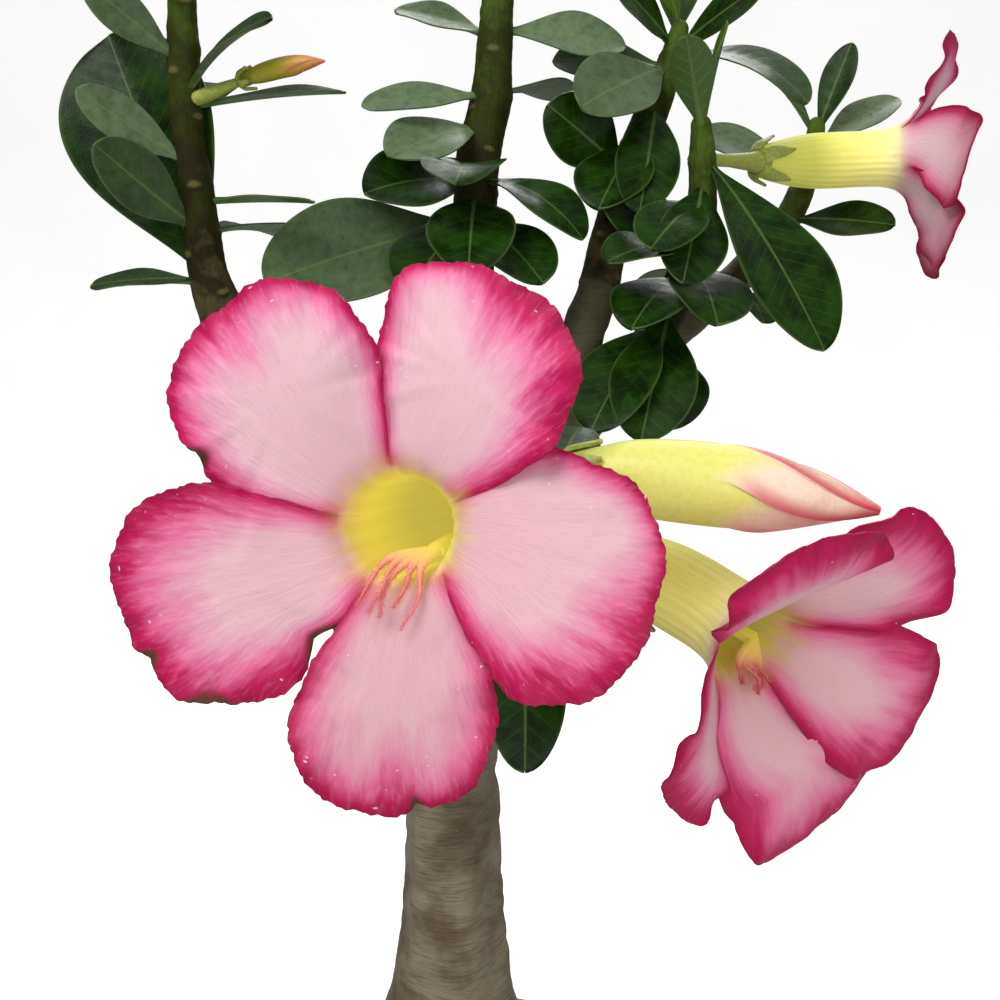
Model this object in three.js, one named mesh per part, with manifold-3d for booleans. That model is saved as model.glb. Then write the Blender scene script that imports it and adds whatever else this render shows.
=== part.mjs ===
// A potted desert rose (adenium): a plain clay pot of soil, a swollen caudex with bare branches,
// eight leafy stems, three trumpet flowers and two buds.
// Millimetres, +Z up. The origin is the centre of the pot's foot, and the best side faces -Y.
import * as THREE from "three";
import { mergeVertices } from "three/addons/utils/BufferGeometryUtils.js";
import Module from "manifold-3d";

const wasm = await Module();
wasm.setup();

// Driving dimensions
const GAP = 0.3;
const SLIVER = 0.05;
const POT = {
  height: 120,
  footRadius: 50,
  neckRadius: 69,
  rimRadius: 76,
  rimHeight: 23,
  wall: 6.5,
  floor: 9,
};
const POT_SIDES = 42;
const SOIL_TOP = 106;
const SOIL_BUMP = 1.6;
const LEAF_THICKNESS = 0.9;
const LEAF_FOLD = 0.22;
const WIDE_LEAF = 22;
const PETIOLE_HALF_WIDTH = 1.2;
const PETAL_THICKNESS = 0.8;
const MOUTH_RADIUS = 8.6;
const LOBES = 5;
const SEPAL_THICKNESS = 0.9;
// Rows of a sepal, from inside the stalk to the tip: height above the seat, distance out, half width.
const SEPAL_ROWS = [[-1.6, 3.2, 1.7], [0.6, 5.4, 1.9], [7.4, 7.2, 0.3]];

const v = (x, y, z) => new THREE.Vector3(x, y, z);
const rad = THREE.MathUtils.degToRad;
const lerp = THREE.MathUtils.lerp;
const clamp = THREE.MathUtils.clamp;

// A repeatable random draw.
function seeded(seed) {
  let state = seed;
  return () => {
    state = (state * 1664525 + 1013904223) % 4294967296;
    return state / 4294967296;
  };
}

// Solids

function solidOf(geometry) {
  const bare = geometry.clone();
  bare.deleteAttribute("normal");
  bare.deleteAttribute("uv");
  const merged = mergeVertices(bare, 1e-4);
  return new wasm.Manifold(
    new wasm.Mesh({
      numProp: 3,
      vertProperties: new Float32Array(merged.attributes.position.array),
      triVerts: new Uint32Array(merged.index.array),
    }),
  );
}

function geometryOf(points, triangles) {
  const geometry = new THREE.BufferGeometry();
  const numbers = points.flatMap((p) => [p.x, p.y, p.z]);
  geometry.setAttribute("position", new THREE.Float32BufferAttribute(numbers, 3));
  geometry.setIndex(triangles.flat());
  return geometry;
}

// Slivers left by joining are cleaned away first.
function meshOf(name, solid, material) {
  const made = solid.asOriginal().simplify(SLIVER).getMesh();
  const geometry = new THREE.BufferGeometry();
  geometry.setAttribute("position", new THREE.BufferAttribute(made.vertProperties, 3));
  geometry.setIndex(new THREE.BufferAttribute(made.triVerts, 1));
  geometry.computeVertexNormals();
  const mesh = new THREE.Mesh(geometry, material);
  mesh.name = name;
  return mesh;
}

const join = (solids) => solids.reduce((all, one) => all.add(one));

// Only the largest body is kept, because a trim can leave a loose scrap.
function largest(solid) {
  return solid.decompose().reduce((best, one) => (one.volume() > best.volume() ? one : best));
}

// A closed skin over rings of points, with a middle point at each end.
function skinOf(rings) {
  const sides = rings[0].length;
  const points = rings.flat();
  const triangles = [];
  for (let i = 0; i + 1 < rings.length; i++)
    for (let j = 0; j < sides; j++) {
      const a = i * sides + j;
      const b = i * sides + ((j + 1) % sides);
      triangles.push([a, b, b + sides], [a, b + sides, a + sides]);
    }
  const middle = (ring) => ring.reduce((sum, p) => sum.add(p), v(0, 0, 0)).divideScalar(sides);
  const first = points.push(middle(rings[0])) - 1;
  const last = points.push(middle(rings.at(-1))) - 1;
  const end = (rings.length - 1) * sides;
  for (let j = 0; j < sides; j++) {
    triangles.push([first, (j + 1) % sides, j]);
    triangles.push([last, end + j, end + ((j + 1) % sides)]);
  }
  return solidOf(geometryOf(points, triangles));
}

// Frames along a curve from one share of it to another, carried without twisting.
function framesAlong(curve, from, to, steps, firstSide = v(0.31, -0.12, 0.94)) {
  const frames = [];
  let side = firstSide.clone();
  for (let i = 0; i <= steps; i++) {
    const t = lerp(from, to, i / steps);
    const along = curve.getTangent(t).normalize();
    side = side.clone().addScaledVector(along, -side.dot(along)).normalize();
    frames.push({ t, at: curve.getPoint(t), along, side, across: along.clone().cross(side) });
  }
  return frames;
}

// A tapered round stem along a curve. Radii belong to the curve's own points.
function stemSolid(curve, radii, from, to, steps, sides) {
  const radiusAt = (t) => {
    const place = clamp(t, 0, 1) * (radii.length - 1);
    const i = Math.min(Math.floor(place), radii.length - 2);
    return lerp(radii[i], radii[i + 1], place - i);
  };
  return skinOf(
    framesAlong(curve, from, to, steps).map(({ t, at, side, across }) =>
      Array.from({ length: sides }, (_, j) => {
        const angle = (2 * Math.PI * j) / sides;
        return at
          .clone()
          .addScaledVector(side, radiusAt(t) * Math.cos(angle))
          .addScaledVector(across, radiusAt(t) * Math.sin(angle));
      }),
    ),
  );
}

// A sheet of triangles made solid. Both faces are split alike, and its open edges are closed by a rim.
function thicken(points, triangles, thickness) {
  const normals = points.map(() => v(0, 0, 0));
  for (const [a, b, c] of triangles) {
    const normal = points[b].clone().sub(points[a]).cross(points[c].clone().sub(points[a]));
    for (const i of [a, b, c]) normals[i].add(normal);
  }
  normals.forEach((n) => n.normalize());
  const front = points.map((p, i) => p.clone().addScaledVector(normals[i], thickness / 2));
  const back = points.map((p, i) => p.clone().addScaledVector(normals[i], -thickness / 2));
  const count = points.length;
  const all = [];
  const edges = new Set();
  for (const [a, b, c] of triangles) {
    all.push([a, b, c], [a + count, c + count, b + count]);
    for (const edge of [[a, b], [b, c], [c, a]]) edges.add(edge.join());
  }
  for (const [a, b, c] of triangles)
    for (const [p, q] of [[a, b], [b, c], [c, a]])
      if (!edges.has(`${q},${p}`)) all.push([q, p, p + count], [q, p + count, q + count]);
  return solidOf(geometryOf([...front, ...back], all));
}

// Leaves

const LEAF_STATIONS = [0, 0.2, 0.44, 0.66, 0.84, 0.95];

// Half the width at a share of the length: a narrow base, widest past the middle, and a round tip.
function leafHalfWidth(share, wide) {
  const blade = Math.sin(Math.PI * share ** 1.6) ** (1 - 0.52 * share);
  return Math.max((wide / 2) * blade, share < 0.5 ? PETIOLE_HALF_WIDTH : 0.4);
}

// A leaf from a point inside its stem to its tip. face is the way its upper side looks, and droop is
// the angle that it bends through, hollow side down. The blade is folded up a little along its midrib.
function leafSolid(base, { tip, wide, face = [0, 0, 1], droop = 20 }) {
  const chord = v(...tip).sub(base);
  const long = chord.length();
  const out = chord.divideScalar(long);
  const up = v(...face).addScaledVector(out, -v(...face).dot(out)).normalize();
  const across = out.clone().cross(up);
  const bend = rad(droop) || 1e-3;
  const radius = long / (2 * Math.sin(bend / 2));
  const place = (share, sideways) => {
    const angle = bend * (share - 0.5);
    const normal = up.clone().multiplyScalar(Math.cos(angle)).addScaledVector(out, Math.sin(angle));
    return base
      .clone()
      .addScaledVector(out, long / 2 + radius * Math.sin(angle))
      .addScaledVector(up, radius * (Math.cos(angle) - Math.cos(bend / 2)))
      .addScaledVector(across, sideways)
      .addScaledVector(normal, LEAF_FOLD * (Math.hypot(sideways, 1.5) - 1.5));
  };
  const columns = wide > WIDE_LEAF ? 4 : 2;
  const row = columns + 1;
  const points = LEAF_STATIONS.flatMap((share) =>
    Array.from({ length: row }, (_, j) => place(share, leafHalfWidth(share, wide) * ((2 * j) / columns - 1))),
  );
  const end = points.push(place(1, 0)) - 1;
  const triangles = [];
  for (let i = 0; i + 1 < LEAF_STATIONS.length; i++)
    for (let j = 0; j < columns; j++) {
      const a = i * row + j;
      triangles.push([a, a + 1, a + row + 1], [a, a + row + 1, a + row]);
    }
  const last = (LEAF_STATIONS.length - 1) * row;
  for (let j = 0; j < columns; j++) triangles.push([last + j, last + j + 1, end]);
  return thicken(points, triangles, LEAF_THICKNESS);
}

// Leaves in a spiral round the top of a stem, each a golden angle on from the last. The upper ones
// are younger, so they are shorter and stand more upright.
function whorlOf(stem, { count, from, to, firstTurn, seed, long, lift }) {
  const draw = seeded(seed);
  return Array.from({ length: count }, (_, i) => {
    const share = i / (count - 1);
    const at = lerp(from, to, share);
    const turn = rad(firstTurn + 137.5 * i);
    const rise = rad(lerp(lift[0], lift[1], share) + 10 * (draw() - 0.5));
    const length = lerp(long, long * 0.55, share) * (0.9 + 0.2 * draw());
    const out = v(Math.cos(turn) * Math.cos(rise), Math.sin(turn) * Math.cos(rise), Math.sin(rise));
    const tip = stem.curve.getPoint(leafyShare(stem, at)).addScaledVector(out, length).toArray();
    const face = [-Math.cos(turn) * Math.sin(rise), -Math.sin(turn) * Math.sin(rise), Math.cos(rise)];
    return { at, tip, face, wide: length * (0.36 + 0.06 * draw()), droop: 14 + 20 * draw() };
  });
}

// Stems: points and radii run from inside the caudex to the growing tip. bare is the share of the
// curve that is woody and belongs to the caudex. A leaf is placed at a share of the leafy part.
const STEMS = {
  left: {
    points: [[0, 0, 222], [-12, -1, 254], [-32, -3, 300], [-46, -4, 333], [-53, -5, 353], [-58, -6, 368],
      [-59, -8, 386], [-61, -8, 405], [-61, -8, 425], [-60, -8, 448], [-58, -8, 466]],
    radii: [9, 8.4, 7.6, 6.8, 5.8, 4.8, 4.2, 3.8, 3.5, 3.1, 2.2],
    bare: 0.4,
    leaves: [
      { at: 0.15, tip: [-84, -14, 365], wide: 13, face: [0, -0.35, 1], droop: 16 },
      { at: 0.12, tip: [-83, 6, 426], wide: 38, face: [-0.1, -1, 0.1], droop: 14 },
      { at: 0.26, tip: [-77, -26, 396], wide: 15, face: [-0.4, -0.8, 0.6], droop: -12 },
      { at: 0.4, tip: [-81, -24, 408], wide: 11, face: [-0.2, -1, 0.5], droop: -10 },
      { at: 0.33, tip: [-31, -10, 385], wide: 8, droop: 8 },
      { at: 0.52, tip: [-23, -10, 410], wide: 12, face: [0, -0.3, 1], droop: 10 },
      { at: 0.6, tip: [-79, -22, 432], wide: 10, face: [-0.5, -0.7, 0.5], droop: -10 },
      { at: 0.54, tip: [-37, -24, 423], wide: 13, face: [0.1, -0.6, 0.8], droop: 34 },
      { at: 0.48, tip: [-62, 34, 420], wide: 17, face: [0, -0.4, 1] },
      { at: 0.26, tip: [-44, 30, 378], wide: 16, face: [0, -0.1, 1], droop: 30 },
    ],
    whorl: { count: 5, from: 0.74, to: 0.98, firstTurn: 140, seed: 11, long: 40, lift: [34, 72] },
  },
  middle: {
    points: [[0, 2, 226], [1, 8, 262], [3, 12, 300], [5, 15, 340], [6, 18, 373], [7, 20, 388], [8, 22, 401],
      [11, 24, 414], [12, 25, 427], [13, 26, 440], [14, 26, 456], [14, 26, 472]],
    radii: [9, 8.4, 7.8, 6.9, 6.1, 5.8, 5.6, 5.4, 5, 4.4, 3.7, 2.4],
    bare: 0.3,
    leaves: [
      { at: 0.17, tip: [-44, -6, 366], wide: 30, face: [0.1, -0.85, 0.5], droop: 16 },
      { at: 0.27, tip: [34, 2, 377], wide: 18, face: [0.2, -0.5, 0.85], droop: 56 },
      { at: 0.19, tip: [-8, -10, 364], wide: 22, face: [-0.2, -0.8, 0.5], droop: 24 },
      { at: 0.23, tip: [6, -16, 368], wide: 22, face: [0, -0.7, 0.7], droop: 34 },
      { at: 0.18, tip: [24, -6, 366], wide: 19, face: [0.2, -0.8, 0.5], droop: 24 },
      { at: 0.26, tip: [-20, 2, 388], wide: 21, face: [-0.2, -0.8, 0.5], droop: 40 },
      { at: 0.29, tip: [3, -12, 389], wide: 21, face: [0, -0.4, 1], droop: 44 },
      { at: 0.41, tip: [-14, 2, 397], wide: 18, face: [-0.1, -0.8, 0.6] },
      { at: 0.49, tip: [-21, 8, 410], wide: 10, face: [0, -0.8, 0.6] },
      { at: 0.33, tip: [-14, 56, 392], wide: 22, droop: 30 },
      { at: 0.5, tip: [30, 56, 420], wide: 22 },
      { at: 0.66, tip: [47, 30, 429], wide: 16, face: [0, -0.8, 0.6], droop: 14 },
      { at: 0.64, tip: [-14, 26, 437], wide: 15, face: [0, -0.6, 0.9], droop: 14 },
    ],
    whorl: { count: 5, from: 0.74, to: 0.98, firstTurn: 172, seed: 23, long: 42, lift: [30, 70] },
  },
  right: {
    points: [[0, 1, 224], [8, 5, 258], [20, 11, 300], [30, 15, 332], [35, 18, 351], [40, 22, 365],
      [43, 25, 378], [47, 28, 392], [52, 30, 405], [56, 32, 416], [60, 34, 426], [63, 36, 437]],
    radii: [9.5, 8.8, 8.2, 7, 6.1, 5.6, 5.3, 5, 4.7, 4.3, 3.7, 2.4],
    bare: 0.47,
    leaves: [
      { at: 0.36, tip: [26, 19, 412], wide: 19, face: [-0.4, -0.8, 0.4], droop: 14 },
      { at: 0.8, tip: [34, 10, 410], wide: 21, face: [-0.1, -1, 0.35] },
      { at: 0.8, tip: [28, 34, 426], wide: 16, face: [0, -0.8, 0.6], droop: 16 },
      { at: 0.88, tip: [43, 24, 444], wide: 15, face: [0.4, -0.7, 0.5], droop: 8 },
      { at: 0.96, tip: [53, 30, 455], wide: 12, face: [0.5, -0.8, 0.2], droop: 8 },
      { at: 0.86, tip: [80, 12, 440], wide: 13, face: [-0.5, -0.8, 0.5], droop: 10 },
      { at: 0.82, tip: [91, 10, 411], wide: 17, face: [0.2, -0.6, 0.8], droop: 66 },
      { at: 0.5, tip: [39, 10, 385], wide: 21, face: [-0.3, -0.8, 0.5], droop: 22 },
      { at: 0.36, tip: [49, 10, 377], wide: 20, face: [0.2, -0.8, 0.5], droop: 24 },
      { at: 0.66, tip: [49, 7, 384], wide: 17, face: [0, -0.95, 0.3], droop: 16 },
      { at: 0.3, tip: [44, 66, 402], wide: 22, droop: 26 },
      { at: 0.6, tip: [66, 70, 430], wide: 21 },
      { at: 0.9, tip: [66, 58, 456], wide: 12 },
    ],
  },
  rightFront: {
    points: [[24, 12, 312], [36, 14, 330], [48, 15, 344], [57, 15, 357], [63, 15, 371], [66, 15, 385],
      [66, 15, 398], [65, 14, 409]],
    radii: [6.2, 5.8, 5.2, 4.8, 4.5, 4.2, 3.7, 2.4],
    bare: 0.34,
    leaves: [
      { at: 0.8, tip: [92, -12, 350], wide: 25, face: [0.35, -0.9, 0.3] },
      { at: 0.36, tip: [66, -12, 356], wide: 22, face: [0.2, -0.6, 0.8], droop: 30 },
      { at: 0.08, tip: [56, -4, 330], wide: 22, face: [0.2, -0.8, 0.6], droop: 24 },
      { at: 0.18, tip: [48, -14, 328], wide: 22, face: [0, -0.7, 0.7], droop: 24 },
      { at: 0.14, tip: [36, -11, 330], wide: 22, face: [-0.3, -0.7, 0.6], droop: 30 },
      { at: 0.3, tip: [46, -8, 355], wide: 20, face: [-0.2, -0.6, 0.8], droop: 40 },
      { at: 0.4, tip: [40, -8, 371], wide: 17, face: [-0.2, -0.6, 0.8], droop: 36 },
      { at: 0.62, tip: [50, -9, 374], wide: 18, face: [-0.3, -0.9, 0.4], droop: 20 },
      { at: 0.7, tip: [58, -8, 366], wide: 18, face: [0.1, -1, 0.3], droop: 14 },
      { at: 0.9, tip: [58, -4, 424], wide: 11, face: [0, 0.5, 0.8], droop: 10 },
      { at: 0.96, tip: [70, 8, 430], wide: 9, face: [-0.9, 0, 0.3], droop: 6 },
    ],
  },
  rightBack: {
    points: [[28, 14, 322], [48, 26, 341], [70, 42, 358], [90, 57, 374], [103, 65, 390], [108, 67, 404],
      [110, 68, 417]],
    radii: [5.8, 5.4, 5, 4.6, 4.2, 3.6, 2.2],
    bare: 0.36,
    leaves: [
      { at: 0.86, tip: [119, 68, 438], wide: 10, face: [-0.5, -0.8, 0.2], droop: 4 },
      { at: 0.8, tip: [137, 78, 424], wide: 14, face: [-0.1, -0.6, 0.85], droop: 10 },
      { at: 0.42, tip: [126, 42, 383], wide: 15, face: [0, -0.8, 0.6], droop: 12 },
      { at: 0.6, tip: [77, 86, 416], wide: 15, face: [0, -0.7, 0.7] },
      { at: 0.9, tip: [96, 86, 436], wide: 11, face: [0.5, -0.5, 0.7], droop: 10 },
      { at: 0.3, tip: [112, 92, 368], wide: 21, droop: 30 },
      { at: 0.14, tip: [58, 80, 364], wide: 22, droop: 34 },
      { at: 0.1, tip: [86, 26, 356], wide: 15, face: [0.4, -0.6, 0.7], droop: 30 },
    ],
  },
  front: {
    points: [[0, -2, 224], [3, -12, 243], [7, -30, 264], [12, -52, 286], [17, -68, 306], [20, -79, 322],
      [21, -83, 329]],
    radii: [9, 7.8, 6.6, 5.8, 5, 4.4, 3.2],
    bare: 0.5,
    leaves: [
      { at: 0.42, tip: [18, -93, 277], wide: 15, face: [0.1, -0.7, 0.7], droop: 22 },
      { at: 0.2, tip: [-26, -64, 300], wide: 17, droop: 30 },
      { at: 0.55, tip: [-12, -60, 330], wide: 15, face: [0.3, 0.2, 1] },
      { at: 0.6, tip: [31, -40, 334], wide: 14, face: [0, -0.6, 0.8] },
      { at: 0.3, tip: [46, -54, 292], wide: 15, droop: 30 },
    ],
  },
  back: {
    points: [[0, 4, 226], [-2, 20, 254], [-4, 38, 280], [-6, 52, 304], [-7, 62, 326]],
    radii: [8.6, 7, 5.8, 5, 2.6],
    bare: 0.42,
    leaves: [],
    whorl: { count: 8, from: 0.1, to: 0.97, firstTurn: 340, seed: 51, long: 36, lift: [4, 66] },
  },
  leftBack: {
    points: [[-2, 3, 226], [-14, 14, 250], [-28, 26, 272], [-40, 36, 294], [-46, 42, 316]],
    radii: [8.2, 6.6, 5.6, 4.8, 2.6],
    bare: 0.42,
    leaves: [],
    whorl: { count: 8, from: 0.1, to: 0.97, firstTurn: 180, seed: 67, long: 32, lift: [8, 66] },
  },
};

for (const stem of Object.values(STEMS))
  stem.curve = new THREE.CatmullRomCurve3(stem.points.map((p) => v(...p)), false, "centripetal");

const leafyShare = (stem, at) => lerp(stem.bare, 1, at);

function bareBranch({ curve, radii, bare }) {
  return stemSolid(curve, radii, 0, bare, Math.round(10 * bare) + 1, 8);
}

// The leafy part of a stem, from a face that meets the bare branch, with its leaves grown into it.
function leafyStem(stem) {
  const { curve, radii, bare, leaves, whorl } = stem;
  const start = bare + GAP / curve.getLength();
  const stalk = stemSolid(curve, radii, start, 1, 8, 7);
  const all = whorl ? [...leaves, ...whorlOf(stem, whorl)] : leaves;
  return join([stalk, ...all.map((leaf) => leafSolid(curve.getPoint(leafyShare(stem, leaf.at)), leaf))]);
}

// Caudex, soil and pot

// Radius of the caudex at each height, from the buried end to the crown where the branches part.
const CAUDEX = [[58, 4], [66, 16], [80, 24], [96, 28], [106, 31], [116, 34], [128, 33], [142, 27.5],
  [156, 21.5], [172, 17], [192, 14], [214, 12.6], [232, 12.4], [244, 9]];
const CAUDEX_SIDES = 16;

function caudexRings(extra, top) {
  return CAUDEX.filter(([height]) => height <= top).map(([height, radius]) =>
    Array.from({ length: CAUDEX_SIDES }, (_, j) => {
      const angle = (2 * Math.PI * j) / CAUDEX_SIDES;
      const bulge = 1 + 0.07 * Math.cos(3 * angle + height / 40) + 0.04 * Math.cos(5 * angle - height / 30);
      return v(Math.cos(angle), Math.sin(angle), 0).multiplyScalar(radius * bulge + extra).setZ(height);
    }),
  );
}

function caudexSolid() {
  return join([skinOf(caudexRings(0, Infinity)), ...Object.values(STEMS).map(bareBranch)]);
}

const potInner = (height) => lerp(POT.footRadius, POT.neckRadius + 3, height / POT.height) - POT.wall;

function potSolid() {
  const { height, footRadius, neckRadius, rimRadius, rimHeight, floor } = POT;
  const shoulder = height - rimHeight;
  const profile = [
    [0, 0], [footRadius - 2, 0], [footRadius, 2], [neckRadius, shoulder], [rimRadius - 1, shoulder + 1],
    [rimRadius + 0.5, height - 3], [rimRadius - 1.5, height], [potInner(height) + 1.5, height],
    [potInner(height), height - 2], [potInner(floor), floor], [0, floor],
  ].map(([radius, z]) => new THREE.Vector2(radius, z));
  return solidOf(new THREE.LatheGeometry(profile, POT_SIDES).rotateX(Math.PI / 2));
}

// The soil fills the pot to just under its rim, with a lumpy top and a plain hole for the caudex.
function soilSolid() {
  const sides = 32;
  const bottom = POT.floor + GAP;
  const ring = (radius, z) =>
    Array.from({ length: sides }, (_, j) => {
      const angle = (2 * Math.PI * j) / sides;
      return v(radius * Math.cos(angle), radius * Math.sin(angle), z);
    });
  const edge = (z) => (potInner(z) - GAP) * Math.cos(Math.PI / POT_SIDES);
  const rings = [ring(edge(bottom), bottom), ring(edge(SOIL_TOP), SOIL_TOP)];
  for (const share of [0.88, 0.72, 0.58])
    rings.push(
      ring(edge(SOIL_TOP) * share, SOIL_TOP).map((p, j) =>
        p.setZ(SOIL_TOP + SOIL_BUMP * Math.sin(j * 2.4 + share * 17) * Math.cos(j * 0.9)),
      ),
    );
  return skinOf(rings).subtract(skinOf(caudexRings(GAP + 0.1, 128)));
}

// Flowers

// The tube's radius at a share of its length, from the mouth back to the base.
function tubeRadius(share) {
  const belly = [1, 0.88, 0.85, 0.86, 0.85, 0.78, 0.62, 0.44];
  const place = share * (belly.length - 1);
  const i = Math.min(Math.floor(place), belly.length - 2);
  return MOUTH_RADIUS * lerp(belly[i], belly[i + 1], place - i);
}

// Half the width of a lobe on one side: out from the mouth to its widest place, then round to the tip.
function lobeHalfWidth(share, half, peak) {
  const root = MOUTH_RADIUS * Math.sin(Math.PI / LOBES);
  if (share < peak) return lerp(root, half, Math.sin((Math.PI / 2) * (share / peak)) ** 0.9);
  return half * (1 - ((share - peak) / (1 - peak)) ** 2.4) ** (1 / 2.4);
}

const LOBE_COLUMNS = 4;
const LOBE_STATIONS = [0, 0.16, 0.38, 0.6, 0.8, 0.94];
const TUBE_ROWS = 4;
const TUBE_SIDES = 16;

// A flower's own frame: out of the mouth, and as near to up as it can be.
function flowerFrame(mouth, facing) {
  const out = v(...facing).normalize();
  const up = v(0, 0, 1).addScaledVector(out, -out.z).normalize();
  return { mouth: v(...mouth), out, up, right: up.clone().cross(out) };
}

const inFrame = (f, x, y, z) =>
  f.mouth.clone().addScaledVector(f.right, x).addScaledVector(f.up, y).addScaledVector(f.out, z);

// The tube's centreline, from the mouth back to the calyx.
function tubeCurve(f, seat) {
  return new THREE.QuadraticBezierCurve3(
    f.mouth.clone(),
    f.mouth.clone().addScaledVector(f.out, -0.5 * f.mouth.distanceTo(seat)),
    seat.clone(),
  );
}

// The tube, as a sheet round its centreline, with a lip that reaches just into the lobes.
function tubeSolid({ frame, seat }) {
  const frames = framesAlong(tubeCurve(frame, seat), 0, 1, TUBE_ROWS, frame.right);
  const rings = frames.map(({ t, at, side, along }) => {
    const across = side.clone().cross(along);
    return Array.from({ length: TUBE_SIDES }, (_, j) => {
      const angle = (2 * Math.PI * j) / TUBE_SIDES;
      return at
        .clone()
        .addScaledVector(side, tubeRadius(t) * Math.cos(angle))
        .addScaledVector(across, tubeRadius(t) * Math.sin(angle));
    });
  });
  const triangles = [];
  for (let i = 0; i < TUBE_ROWS; i++)
    for (let j = 0; j < TUBE_SIDES; j++) {
      const a = i * TUBE_SIDES + j;
      const b = i * TUBE_SIDES + ((j + 1) % TUBE_SIDES);
      triangles.push([a, a + TUBE_SIDES, b + TUBE_SIDES], [a, b + TUBE_SIDES, b]);
    }
  return thicken(rings.flat(), triangles, PETAL_THICKNESS);
}

// One petal lobe. It leaves the mouth on an arc, leans from its root angle to its own turn, and is
// pitched so that one side lies over the next lobe.
function lobeSolid({ frame, root, lobes, flare, reflex, twist, ruffle }, k) {
  const lobe = lobes[k];
  const middle = rad(root + (360 / LOBES) * k);
  const lean = rad(lobe.turn) - middle;
  const place = (share, side) => {
    const arc = side * (Math.PI / LOBES) * 1.04;
    const out = clamp(share * 3, 0, 1);
    const [widest, peak] = side < 0 ? [lobe.cw, lobe.cwPeak] : [lobe.ccw, lobe.ccwPeak];
    const half = lobeHalfWidth(share, widest, peak);
    const sideways = (half * Math.sin(arc)) / Math.sin(Math.PI / LOBES);
    const outward = lerp(Math.cos(arc), 1, out) * MOUTH_RADIUS + share * (lobe.reach - MOUTH_RADIUS);
    const turn = middle + lean * clamp(share * 2, 0, 1);
    const height =
      (flare + (lobe.rise ?? 0)) * (1 - (1 - share) ** 2) -
      reflex * share ** 3 -
      twist * sideways * out +
      ruffle * side * side * out * Math.sin(15 * share + 3 * side + 2 * k);
    return inFrame(
      frame,
      outward * Math.cos(turn) - sideways * Math.sin(turn),
      outward * Math.sin(turn) + sideways * Math.cos(turn),
      height,
    );
  };
  const row = LOBE_COLUMNS + 1;
  const sides = Array.from({ length: row }, (_, j) => (2 * j) / LOBE_COLUMNS - 1);
  const inside = sides.map((side) => place(0, side).addScaledVector(frame.out, -1.2));
  const points = [inside, ...LOBE_STATIONS.map((share) => sides.map((side) => place(share, side)))].flat();
  const tip = points.push(place(1, 0)) - 1;
  const triangles = [];
  for (let i = 0; i < LOBE_STATIONS.length; i++)
    for (let j = 0; j < LOBE_COLUMNS; j++) {
      const a = i * row + j;
      triangles.push([a, a + row, a + row + 1], [a, a + row + 1, a + 1]);
    }
  const last = LOBE_STATIONS.length * row;
  for (let j = 0; j < LOBE_COLUMNS; j++) triangles.push([last + j, tip, last + j + 1]);
  return thicken(points, triangles, PETAL_THICKNESS);
}

const corollaSolid = (flower) =>
  join([tubeSolid(flower), ...flower.lobes.map((_, k) => lobeSolid(flower, k))]);

// The anthers stand in a cone on the flower's seat, and their five long tails hang out of the mouth.
function stamensSolid({ frame, seat, tails }) {
  const centre = tubeCurve(frame, seat);
  const cone = new THREE.CatmullRomCurve3([0.985, 0.7, 0.45, 0.28].map((t) => centre.getPoint(t)));
  const pieces = [stemSolid(cone, [2.3, 1.3, 2, 1.1], 0, 1, 5, 6)];
  tails.forEach(([x, y, z], i) => {
    const start = centre.getPoint(0.32);
    const bend = inFrame(frame, x * 0.45 + 0.8, y * 0.35 - i * 0.15, 1.5);
    const tail = new THREE.CatmullRomCurve3([start, bend, inFrame(frame, x, y, z)]);
    pieces.push(stemSolid(tail, [0.75, 0.5, 0.38], 0, 1, 4, 3));
  });
  return join(pieces);
}

// A stalk from the stem that widens into the flower's seat, with five pointed sepals round it.
function calyxSolid(from, seat, along, size) {
  const out = along.clone().normalize();
  const under = seat.clone().addScaledVector(out, -GAP);
  const below = under.clone().addScaledVector(out, -3 * size);
  const stalk = new THREE.CatmullRomCurve3([from.clone(), from.clone().lerp(below, 0.5), below, under]);
  const pieces = [stemSolid(stalk, [1.8, 1.7, 2.6 * size, 4 * size], 0, 1, 5, 7)];
  const side = v(0.2, 0.3, 1).addScaledVector(out, -v(0.2, 0.3, 1).dot(out)).normalize();
  for (let k = 0; k < LOBES; k++) {
    const outward = side.clone().applyAxisAngle(out, (2 * Math.PI * k) / LOBES);
    const across = outward.clone().cross(out);
    const rows = SEPAL_ROWS.map(([up, away, half]) =>
      [-1, 1].map((s) =>
        under
          .clone()
          .addScaledVector(out, up * size)
          .addScaledVector(outward, away * size)
          .addScaledVector(across, s * half * size),
      ),
    );
    const triangles = [0, 2].flatMap((i) => [[i, i + 1, i + 3], [i, i + 3, i + 2]]);
    pieces.push(thicken(rows.flat(), triangles, SEPAL_THICKNESS));
  }
  return join(pieces);
}

// A bud's centreline, which rises a little before it drops to the tip.
function budCurve({ seat, tip, bow }) {
  const middle = seat.clone().lerp(tip, 0.5).add(v(0, 0, bow));
  return new THREE.QuadraticBezierCurve3(seat.clone(), middle, tip.clone());
}

// A closed bud: a round tube that ends in petals rolled to a point, with their edges as a spiral of ridges.
function budSolid(bud) {
  const sides = 15;
  const profile = [0.46, 0.66, 0.86, 0.95, 0.99, 1, 1, 0.94, 0.8, 0.6, 0.36, 0.12];
  return skinOf(
    framesAlong(budCurve(bud), 0, 1, profile.length - 1).map(({ t, at, side, across }, i) =>
      Array.from({ length: sides }, (_, j) => {
        const angle = (2 * Math.PI * j) / sides;
        const spiral = LOBES * (angle - bud.twist * Math.max(0, t - 0.5));
        const r = bud.radius * profile[i] * (1 + 0.1 * Math.sin(spiral) * clamp((t - 0.5) * 4, 0, 1));
        return at
          .clone()
          .addScaledVector(side, r * Math.cos(angle))
          .addScaledVector(across, r * Math.sin(angle));
      }),
    ),
  );
}

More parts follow.
